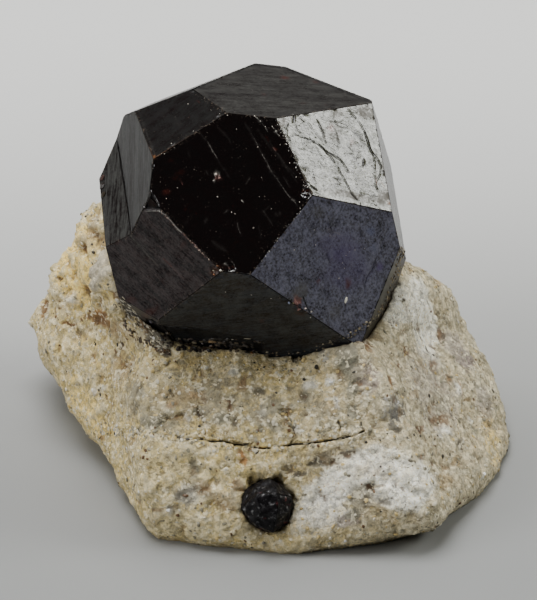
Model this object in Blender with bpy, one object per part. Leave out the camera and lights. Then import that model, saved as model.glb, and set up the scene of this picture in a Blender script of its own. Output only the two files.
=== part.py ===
"""Garnet in matrix: a dark trapezohedral garnet half sunk in a block of pale pegmatite rock.

Three solids, in metres, +Z up, resting on the rock's flat underside at z = 0 with the origin
at the middle of that underside:
    matrix        the rock, with a socket for each crystal
    garnet        the large crystal, 24 flat {211} faces and a growth facet beside a step
    small_garnet  the small crystal low in the front of the rock
"""

import math

import bmesh
import bpy
from mathutils import Euler, Vector, noise

MM = 0.001
CLEARANCE = 0.3  # gap between a crystal and its socket, in mm, as all lengths below

# The large crystal: where its centre is, how its cube axes are turned, and how far each face
# lies from the centre. Faces that are not listed lie at the plain distance.
GARNET_CENTRE = (-2.6, 2.9, 15.2)
GARNET_TURN = (-28.9, -32.6, -128.8)  # degrees about X, Y and Z
GARNET_INRADIUS = 9.2
GARNET_FACES = {
    (2, 1, 1): 9.1,
    (1, 1, 2): 9.4,
    (1, 2, 1): 8.9,
    (1, -1, 2): 9.1,
    (2, -1, 1): 10.2,
    (2, -1, -1): 10.1,
    (1, -1, -2): 8.17,
    (2, 1, -1): 9.3,
    (1, 2, -1): 8.3,
    (-1, 2, 1): 9.8,
    (-1, -2, 1): 8.4,
    (1, -2, -1): 9.0,
}
# The left face (2, -1, -1) is a step deep towards the front: there the crystal ends at STEP_AT,
# and a growth facet that leans off the same face climbs from the foot of the step.
STEP_FACE, STEP_AT = (2, -1, -1), 9.05
GROWTH_FACET, GROWTH_FACET_AT = (2.0, -0.776, -0.148), 9.12

# The small crystal.
SMALL_CENTRE = (-1.4, -10.28, 2.82)
SMALL_TURN = (35.0, 10.0, 20.0)
SMALL_INRADIUS = 1.5

# The rock is one blob about ROCK_CENTRE, bounded by flat fracture faces. Each face is its
# compass angle (0 faces -Y, the front; 90 faces +X), its upward tilt and its distance.
ROCK_CENTRE = (-1.0, 0.5, 7.0)
ROCK_FACES = (
    (-4, 32, 7.4),  # front
    (12, 55, 6.9),  # bench that the crystal stands on
    (-14, -34, 13.7),  # front foot, left part
    (13, -44, 13.7),  # front foot, right part
    (-75, -46, 11.8),  # undercut left side
    (-66, 11, 10.4),  # narrow bevel at the left of the front
    (-95, 52, 15.6),  # left shoulder
    (-50, 74, 11.4),  # slope behind the left shoulder
    (47, 28, 12.0),  # right front
    (75, 36, 8.0),  # right shoulder
    (98, -3, 15.4),  # right side
    (57, -52, 13.7),  # undercut lower right
    (80, 62, 9.6),  # slope behind the right shoulder
    (125, 50, 9.6),  # slope behind the right shoulder, facing the back
    (148, 16, 12.8),  # back right
    (192, 12, 14.8),  # back
    (236, 30, 14.8),  # back left
    (178, 78, 9.4),  # shelf behind the crystal
    (176, 45, 15.2),  # chamfer between the shelf and the back
    (208, -48, 13.2),  # undercut back
)
EDGE_SHARPNESS = 26.0  # higher numbers leave tighter edges between the fracture faces
ROCK_SUBDIVISIONS = 5

# Bumps and hollows of the rock: place, reach and height in mm. Negative heights are hollows.
ROCK_LUMPS = (
    (-6.4, -3.2, 9.6, 3.0, -3.2),  # hollow below the crystal, left
    (-0.5, -4.4, 10.2, 3.6, -2.4),  # and in the middle
    (-11.8, -1.8, 13.4, 2.0, 1.1),  # knobs that grip the crystal's left,
    (3.6, -5.2, 12.0, 1.8, 2.0),  # lower right
    (7.0, 0.8, 13.2, 2.0, 2.8),  # and right corner
    (-12.3, 6.8, 14.9, 1.4, 0.6),  # rim behind the crystal's left
    (-15.0, 4.8, 5.6, 2.8, 1.4),  # round boss at the far left
    (-15.6, 7.4, 7.2, 1.3, -0.9),  # notch above the boss
    (-16.4, 10.0, 5.4, 1.8, 0.9),  # tip behind the notch
    (-17.2, 9.9, 3.3, 1.4, -0.6),  # undercut below the tip
    (-15.2, 4.6, 3.0, 2.2, -0.9),  # and below the boss
    (-15.6, 7.0, 9.9, 2.0, 0.5),  # swelling above the notch
    (-13.2, 2.6, 8.4, 1.5, -0.9),  # ledge that runs from the notch to the crystal
    (-11.6, 0.2, 10.2, 1.3, -0.6),
    (-14.4, 5.8, 9.6, 1.5, 0.8),  # knobs above the ledge
    (-12.9, 4.2, 13.0, 1.5, 0.7),
    (-11.7, 0.6, 12.4, 1.1, 0.7),
    (-13.6, 4.6, 11.3, 0.9, -0.5),
    (9.9, 6.8, 8.6, 2.2, 0.9),  # corner of the right shoulder
    (9.2, 2.6, 7.6, 1.6, -0.7),  # dip below it
    (11.9, 7.8, 4.6, 2.4, -1.7),  # hollow flank of the right shoulder
    (12.4, 2.4, 3.4, 2.6, 0.5),  # swelling of the right side
    (11.0, -4.4, 2.2, 1.8, 0.5),  # knob at the lower right
    (6.6, -8.8, 6.6, 1.8, -0.4),  # dips and rises of the front
    (4.6, -10.3, 4.2, 2.0, 0.5),
    (-3.0, -10.8, 0.0, 2.2, -0.8),
    (6.6, -9.8, 0.0, 1.8, -0.7),
    (-8.4, -9.5, 0.2, 1.5, 0.4),
    (-5.6, -8.9, 5.4, 2.2, 0.4),
    (0.6, -10.2, 4.4, 1.4, -0.4),
    (-9.0, -5.6, 8.6, 1.8, 0.4),
    (2.6, 14.6, 6.2, 3.4, 0.9),  # swells and scoops of the back
    (-5.6, 14.4, 9.2, 2.8, -0.8),
    (-0.5, 16.0, 1.6, 3.0, -0.9),
    (-11.4, 12.2, 4.2, 2.8, -0.9),
    (9.4, 9.6, 4.2, 2.6, 0.8),
    (12.8, -1.6, 5.4, 1.8, -0.6),  # scoop of the right side
)
LUMP_NOISE = ((5.5, 0.7), (2.4, 0.4))  # scale and height of the rock's unevenness
# Ledges that the feldspar's cleavage leaves on the back: the way the steps face, their spacing
# and height in mm, and where along Y they begin and are full.
LEDGE_FACING = (-28, 58)
LEDGE_SPACING = 3.1
LEDGE_HEIGHT = 0.75
LEDGE_BEGINS, LEDGE_FULL = 3.0, 9.0


def clear_scene():
    for old in list(bpy.data.objects):
        bpy.data.objects.remove(old)


def material(name, colour, roughness):
    mat = bpy.data.materials.new(name)
    mat.use_nodes = True
    shader = mat.node_tree.nodes["Principled BSDF"]
    shader.inputs["Base Color"].default_value = (*colour, 1.0)
    shader.inputs["Roughness"].default_value = roughness
    shader.inputs["Metallic"].default_value = 0.0
    return mat


def add_object(name, bm, mat):
    """Make an object of a bmesh measured in mm."""
    bmesh.ops.scale(bm, vec=Vector((MM, MM, MM)), verts=bm.verts)
    mesh = bpy.data.meshes.new(name)
    bm.to_mesh(mesh)
    bm.free()
    mesh.materials.append(mat)
    obj = bpy.data.objects.new(name, mesh)
    bpy.context.collection.objects.link(obj)
    return obj


def trapezohedron_faces():
    """The 24 faces {211}: one index is 2 or -2, the other two are 1 or -1."""
    signs = (1, -1)
    for axis in range(3):
        for s0 in signs:
            for s1 in signs:
                for s2 in signs:
                    face = [s0, s1, s2]
                    face[axis] *= 2
                    yield tuple(face)


def crystal_bmesh(faces, centre, turn, extra=0.0):
    """The solid inside all the faces. Each face is its index and its distance from the centre."""
    rotation = Euler([math.radians(angle) for angle in turn]).to_matrix()
    centre = Vector(centre)
    bm = bmesh.new()
    bmesh.ops.create_cube(bm, size=8.0 * max(abs(distance) for _, distance in faces))
    bmesh.ops.translate(bm, vec=centre, verts=bm.verts)
    for index, distance in faces:
        normal = rotation @ Vector(index).normalized()
        cut = bmesh.ops.bisect_plane(
            bm,
            geom=bm.verts[:] + bm.edges[:] + bm.faces[:],
            plane_co=centre + normal * (distance + extra),
            plane_no=normal,
            clear_outer=True,
        )
        rim = [e for e in cut["geom_cut"] if isinstance(e, bmesh.types.BMEdge)]
        if rim:
            bmesh.ops.edgeloop_fill(bm, edges=rim)
    bmesh.ops.recalc_face_normals(bm, faces=bm.faces)
    return bm


def garnet_faces():
    return [(face, GARNET_FACES.get(face, GARNET_INRADIUS)) for face in trapezohedron_faces()]


def step_faces():
    """The wedge that is missing from the garnet: outside both the step's face and the facet."""
    sides = ((STEP_FACE, STEP_AT), (GROWTH_FACET, GROWTH_FACET_AT))
    return [(tuple(-i for i in face), -distance) for face, distance in sides]


def small_garnet_faces():
    return [(face, SMALL_INRADIUS) for face in trapezohedron_faces()]


def compass_vector(azimuth, tilt):
    """The unit vector that faces a compass angle (0 is -Y, 90 is +X) and tilts up, in degrees."""
    a, t = math.radians(azimuth), math.radians(tilt)
    return Vector((math.sin(a) * math.cos(t), -math.cos(a) * math.cos(t), math.sin(t)))


def rock_radius(direction):
    """How far the fracture faces lie from the rock's centre, with their edges slightly worn."""
    total = 0.0
    for azimuth, tilt, distance in ROCK_FACES:
        facing = compass_vector(azimuth, tilt).dot(direction)
        if facing > 0.0:
            total += (facing / distance) ** EDGE_SHARPNESS
    return total ** (-1.0 / EDGE_SHARPNESS)


def ledges(point):
    """Saw-tooth steps across the back of the rock, in mm."""
    weight = (point.y - LEDGE_BEGINS) / (LEDGE_FULL - LEDGE_BEGINS)
    weight = min(max(weight, 0.0), 1.0)
    along = compass_vector(*LEDGE_FACING).dot(point) / LEDGE_SPACING
    along += noise.noise(point / LEDGE_SPACING)
    return weight * LEDGE_HEIGHT * (0.5 - (along - math.floor(along)))


def rock_relief(point):
    """The lumps, hollows and unevenness of the rock's surface at a point, in mm."""
    relief = 0.0
    for x, y, z, reach, height in ROCK_LUMPS:
        away = (point - Vector((x, y, z))).length / reach
        relief += height * math.exp(-away * away)
    for scale, height in LUMP_NOISE:
        relief += height * noise.noise(point / scale)
    return relief + ledges(point)


def rock_bmesh():
    centre = Vector(ROCK_CENTRE)
    bm = bmesh.new()
    bmesh.ops.create_icosphere(bm, subdivisions=ROCK_SUBDIVISIONS, radius=1.0)
    for vert in bm.verts:
        direction = vert.co.normalized()
        radius = rock_radius(direction)
        radius += rock_relief(centre + direction * radius)
        vert.co = centre + direction * radius
    base = bmesh.ops.bisect_plane(
        bm,
        geom=bm.verts[:] + bm.edges[:] + bm.faces[:],
        plane_co=Vector((0.0, 0.0, 0.0)),
        plane_no=Vector((0.0, 0.0, -1.0)),
        clear_outer=True,
    )
    rim = [e for e in base["geom_cut"] if isinstance(e, bmesh.types.BMEdge)]
    bmesh.ops.edgeloop_fill(bm, edges=rim)
    bmesh.ops.recalc_face_normals(bm, faces=bm.faces)
    return bm


def cut_away(solid, name, bm, mat):
    """Cut the shape of a bmesh out of a solid."""
    cutter = add_object(name, bm, mat)
    cutter.hide_render = True
    cutter.display_type = "WIRE"
    cut = solid.modifiers.new(name, "BOOLEAN")
    cut.operation = "DIFFERENCE"
    cut.solver = "EXACT"
    cut.object = cutter


def main():
    clear_scene()
    stone = material("stone", (0.55, 0.49, 0.36), 0.8)
    garnet = material("garnet", (0.02, 0.008, 0.008), 0.12)

    rock = add_object("matrix", rock_bmesh(), stone)
    crystals = (
        ("garnet", garnet_faces(), GARNET_CENTRE, GARNET_TURN),
        ("small_garnet", small_garnet_faces(), SMALL_CENTRE, SMALL_TURN),
    )
    for name, faces, centre, turn in crystals:
        crystal = add_object(name, crystal_bmesh(faces, centre, turn), garnet)
        cut_away(rock, name + "_socket", crystal_bmesh(faces, centre, turn, CLEARANCE), stone)
        if name == "garnet":
            wedge = crystal_bmesh(step_faces(), centre, turn)
            cut_away(crystal, "step", wedge, garnet)


main()
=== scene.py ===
"""Garnet in matrix: the finish of the rock and of both crystals, the floor, the light and the camera.

Lengths are in millimetres until a mesh is handed over to Blender, which holds metres.
Places on the object that are read off the photograph are pixels of its 537 x 600 frame: each is
carried along the camera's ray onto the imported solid, so the feature sits on that solid.
"""

import math

import bmesh
import bpy
import numpy as np
from mathutils import Matrix, Vector, noise
from mathutils.bvhtree import BVHTree


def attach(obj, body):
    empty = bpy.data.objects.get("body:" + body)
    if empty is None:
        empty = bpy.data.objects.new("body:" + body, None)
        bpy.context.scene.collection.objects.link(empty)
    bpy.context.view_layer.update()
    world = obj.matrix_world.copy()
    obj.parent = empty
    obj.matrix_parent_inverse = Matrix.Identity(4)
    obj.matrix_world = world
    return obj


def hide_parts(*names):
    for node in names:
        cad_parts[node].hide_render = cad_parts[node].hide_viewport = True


MM = 0.001
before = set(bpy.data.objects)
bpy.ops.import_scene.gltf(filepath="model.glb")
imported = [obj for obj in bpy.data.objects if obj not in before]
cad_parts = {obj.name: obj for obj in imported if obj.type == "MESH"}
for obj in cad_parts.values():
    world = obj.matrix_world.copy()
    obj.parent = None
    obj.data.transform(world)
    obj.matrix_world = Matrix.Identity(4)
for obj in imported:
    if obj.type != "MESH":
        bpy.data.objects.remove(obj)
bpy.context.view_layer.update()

# ---------------------------------------------------------------- camera
PHOTO_WIDTH, PHOTO_HEIGHT = 537, 600
SENSOR = 36.0
CAMERA_ELEVATION = math.radians(28.0)
CAMERA_DISTANCE = 225.0
CAMERA_TARGET = Vector((-1.335, 0.70, 11.09))
PIXELS_PER_MM = 16.07  # at the target
CAMERA_RIGHT = Vector((1.0, 0.0, 0.0))
CAMERA_UP = Vector((0.0, math.sin(CAMERA_ELEVATION), math.cos(CAMERA_ELEVATION)))
CAMERA_BACK = Vector((0.0, -math.cos(CAMERA_ELEVATION), math.sin(CAMERA_ELEVATION)))
CAMERA_PLACE = CAMERA_TARGET + CAMERA_DISTANCE * CAMERA_BACK


def pixel_ray(pixel):
    """The direction from the camera through a pixel of the photograph."""
    across = (pixel[0] - PHOTO_WIDTH / 2) / PIXELS_PER_MM
    down = (pixel[1] - PHOTO_HEIGHT / 2) / PIXELS_PER_MM
    return (CAMERA_RIGHT * across - CAMERA_UP * down - CAMERA_BACK * CAMERA_DISTANCE).normalized()


def add_camera():
    data = bpy.data.cameras.new("camera")
    data.sensor_width = SENSOR
    data.lens = SENSOR * CAMERA_DISTANCE * PIXELS_PER_MM / PHOTO_HEIGHT
    data.clip_start, data.clip_end = 0.01, 10.0
    camera = bpy.data.objects.new("camera", data)
    axes = Matrix((CAMERA_RIGHT, CAMERA_UP, CAMERA_BACK)).transposed()
    camera.matrix_world = Matrix.Translation(CAMERA_PLACE * MM) @ axes.to_4x4()
    bpy.context.scene.collection.objects.link(camera)
    bpy.context.scene.camera = camera


# ---------------------------------------------------------------- meshes and numbers
def node_bmesh(name):
    """A CAD node's closed mesh, in mm."""
    bm = bmesh.new()
    bm.from_mesh(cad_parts[name].data)
    bmesh.ops.remove_doubles(bm, verts=bm.verts, dist=1e-6)
    bmesh.ops.scale(bm, vec=Vector((1.0, 1.0, 1.0)) / MM, verts=bm.verts)
    return bm


def crystal_planes(name):
    """The normals and distances of a crystal's flat faces, and which pairs meet in a hollow."""
    bm = node_bmesh(name)
    bmesh.ops.dissolve_limit(bm, angle_limit=math.radians(0.6), verts=bm.verts, edges=bm.edges)
    faces = [f for f in bm.faces if f.calc_area() > 0.05]
    normals = np.array([f.normal[:] for f in faces])
    distances = np.array([f.normal.dot(f.calc_center_median()) for f in faces])
    hollows = [[faces.index(f) for f in e.link_faces] for e in bm.edges
               if not e.is_convex and e.calc_length() > 1.0 and all(f in faces for f in e.link_faces)]
    bm.free()
    return normals, distances, hollows


def reach_of(points, planes):
    """How far each point lies outside each face of a crystal."""
    reach = points @ planes[0].T - planes[1]
    for a, b in planes[2]:
        further = reach[:, a] > reach[:, b]
        reach[further, a] = -np.inf
        reach[~further, b] = -np.inf
    return reach


def outside_of(points, planes):
    """Each point's distance outside a crystal, and the normal of the face that it is nearest."""
    reach = reach_of(points, planes)
    nearest = reach.argmax(axis=1)
    return reach[np.arange(len(points)), nearest], planes[0][nearest]


def smooth(low, high, value):
    t = np.clip((value - low) / (high - low), 0.0, 1.0)
    return t * t * (3.0 - 2.0 * t)


def wave(points, size, offset=0.0):
    """Smooth noise from about -1 to 1 whose bumps are about as wide as size."""
    scaled = points / size + offset
    return np.array([noise.noise(p) for p in map(Vector, scaled.tolist())])


def warp(points, size, amount, offset=0.0):
    """The points moved about by smooth noise."""
    scaled = points / size + offset
    return points + amount * np.array([noise.noise_vector(p)[:] for p in map(Vector, scaled.tolist())])


def broken_facets(points, size, offset=0.0):
    """Height, from about -1 to 1, of a surface broken into flat facets about as wide as size."""
    heights = np.empty(len(points))
    for i, p in enumerate(map(Vector, (points / size + offset).tolist())):
        cell = noise.voronoi(p)[1][0]
        tilt = noise.cell_vector(cell * 7.31) - Vector((0.5, 0.5, 0.5))
        heights[i] = (p - cell).dot(tilt) * 2.2 + 0.6 * (noise.cell(cell * 3.17) - 0.5)
    return heights


def get_points(mesh):
    points = np.empty(len(mesh.vertices) * 3)
    mesh.vertices.foreach_get("co", points)
    return points.reshape(-1, 3)


def set_points(mesh, points):
    mesh.vertices.foreach_set("co", points.astype(np.float32).ravel())
    mesh.update()


def get_normals(mesh):
    normals = np.empty(len(mesh.vertices) * 3)
    mesh.vertex_normals.foreach_get("vector", normals)
    return normals.reshape(-1, 3)


def get_edges(mesh):
    edges = np.empty(len(mesh.edges) * 2, dtype=np.int64)
    mesh.edges.foreach_get("vertices", edges)
    return edges.reshape(-1, 2)


def relax(values, edges, rounds, share=0.5):
    """Values of each vertex drawn towards the mean of its neighbours, round after round."""
    count = len(values)
    degree = np.bincount(edges.ravel(), minlength=count)[:, None]
    flat = values.reshape(count, -1)
    for _ in range(rounds):
        total = np.zeros_like(flat)
        for k in range(flat.shape[1]):
            total[:, k] = np.bincount(edges[:, 0], weights=flat[edges[:, 1], k], minlength=count)
            total[:, k] += np.bincount(edges[:, 1], weights=flat[edges[:, 0], k], minlength=count)
        flat = flat + share * (total / degree - flat)
    return flat.reshape(values.shape)


def add_attribute(mesh, name, values, kind, domain="POINT"):
    data = mesh.attributes.new(name, kind, domain).data
    key = {"FLOAT": "value", "FLOAT_VECTOR": "vector", "FLOAT_COLOR": "color"}[kind]
    data.foreach_set(key, np.asarray(values, dtype=np.float32).ravel())


def add_piece(name, mesh, material, slot, *nodes):
    """Hand a mesh measured in mm over to the frame, as a piece that rides on the one body."""
    mesh.transform(Matrix.Scale(MM, 4))
    mesh.materials.append(material)
    piece = bpy.data.objects.new(name, mesh)
    bpy.context.scene.collection.objects.link(piece)
    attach(piece, "root")
    if nodes:
        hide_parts(*nodes)
    return piece


# ---------------------------------------------------------------- material nodes
class Nodes:
    """A material's node tree, with a short way to add a node and link or set its inputs."""

    def __init__(self, name):
        self.material = bpy.data.materials.new(name)
        self.material.use_nodes = True
        self.tree = self.material.node_tree
        self.shader = self.tree.nodes["Principled BSDF"]
        self.output = self.tree.nodes["Material Output"]

    def put(self, node, key, value):
        socket = node.inputs[key]
        if isinstance(value, bpy.types.NodeSocket):
            self.tree.links.new(value, socket)
        else:
            socket.default_value = value

    def add(self, kind, inputs=(), out=0, **settings):
        node = self.tree.nodes.new("ShaderNode" + kind)
        for key, value in settings.items():
            setattr(node, key, value)
        for key, value in dict(inputs).items():
            self.put(node, key, value)
        return node.outputs[out]

    def math(self, operation, a, b=0.0, clamp=False):
        return self.add("Math", {0: a, 1: b}, operation=operation, use_clamp=clamp)

    def mix(self, factor, a, b, blend="MIX"):
        return self.add(
            "Mix", {0: factor, 6: a, 7: b}, out=2, data_type="RGBA", blend_type=blend
        )

    def blend(self, factor, a, b):
        return self.add("Mix", {0: factor, 2: a, 3: b}, data_type="FLOAT")

    def ramp(self, value, low, high):
        """0 below low, 1 above high, smooth between."""
        return self.add(
            "MapRange", {0: value, 1: low, 2: high, 3: 0.0, 4: 1.0}, interpolation_type="SMOOTHSTEP"
        )

    def attribute(self, name, out="Fac"):
        return self.add("Attribute", out=out, attribute_name=name)

    def millimetres(self):
        """Object coordinates in mm."""
        place = self.add("TexCoord", out="Object")
        return self.add("VectorMath", {0: place, "Scale": 1.0 / MM}, operation="SCALE")

    def stretched(self, vector, turn, scale):
        return self.add("Mapping", {"Vector": vector, "Rotation": turn, "Scale": scale})

    def noise(self, vector, size, detail=2.0, roughness=0.5, distortion=0.0):
        inputs = {"Vector": vector, "Scale": 1.0 / size, "Detail": detail}
        inputs.update({"Roughness": roughness, "Distortion": distortion})
        return self.add("TexNoise", inputs)

    def cells(self, vector, size, out="Color", **settings):
        return self.add("TexVoronoi", {"Vector": vector, "Scale": 1.0 / size}, out=out, **settings)


def srgb(red, green, blue):
    """A colour given as it shows on a screen, 0 to 255, in linear light."""
    def linear(c):
        c /= 255.0
        return c / 12.92 if c <= 0.04045 else ((c + 0.055) / 1.055) ** 2.4
    return (linear(red), linear(green), linear(blue), 1.0)


# ---------------------------------------------------------------- the rock's marks
ROCK_TREE = BVHTree.FromBMesh(node_bmesh("matrix"))
GARNET_TREE = BVHTree.FromBMesh(node_bmesh("garnet"))
GARNET_PLANES = crystal_planes("garnet")
SMALL_PLANES = crystal_planes("small_garnet")


def on_solid(tree, pixel):
    """Where the camera's ray through a pixel meets a solid, or passes it most closely."""
    ray = pixel_ray(pixel)
    hit = tree.ray_cast(CAMERA_PLACE, ray)[0]
    if hit is None:
        centre = CAMERA_PLACE + ray * (CAMERA_TARGET - CAMERA_PLACE).dot(ray)
        hit = tree.find_nearest(centre)[0]
    return hit


TONES = {
    "white": (212, 210, 200),
    "snow": (255, 252, 236),
    "cream": (214, 198, 150),
    "yellow": (250, 217, 126),
    "grey": (144, 136, 112),
    "quartz": (108, 106, 90),
    "purple": (122, 108, 106),
    "rose grey": (170, 160, 144),
    "bluish": (140, 144, 150),
    "tan": (160, 138, 98),
    "brown": (112, 78, 42),
    "orange": (150, 104, 52),
    "dark": (58, 54, 46),
    "pale green": (176, 176, 146),
}
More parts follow.
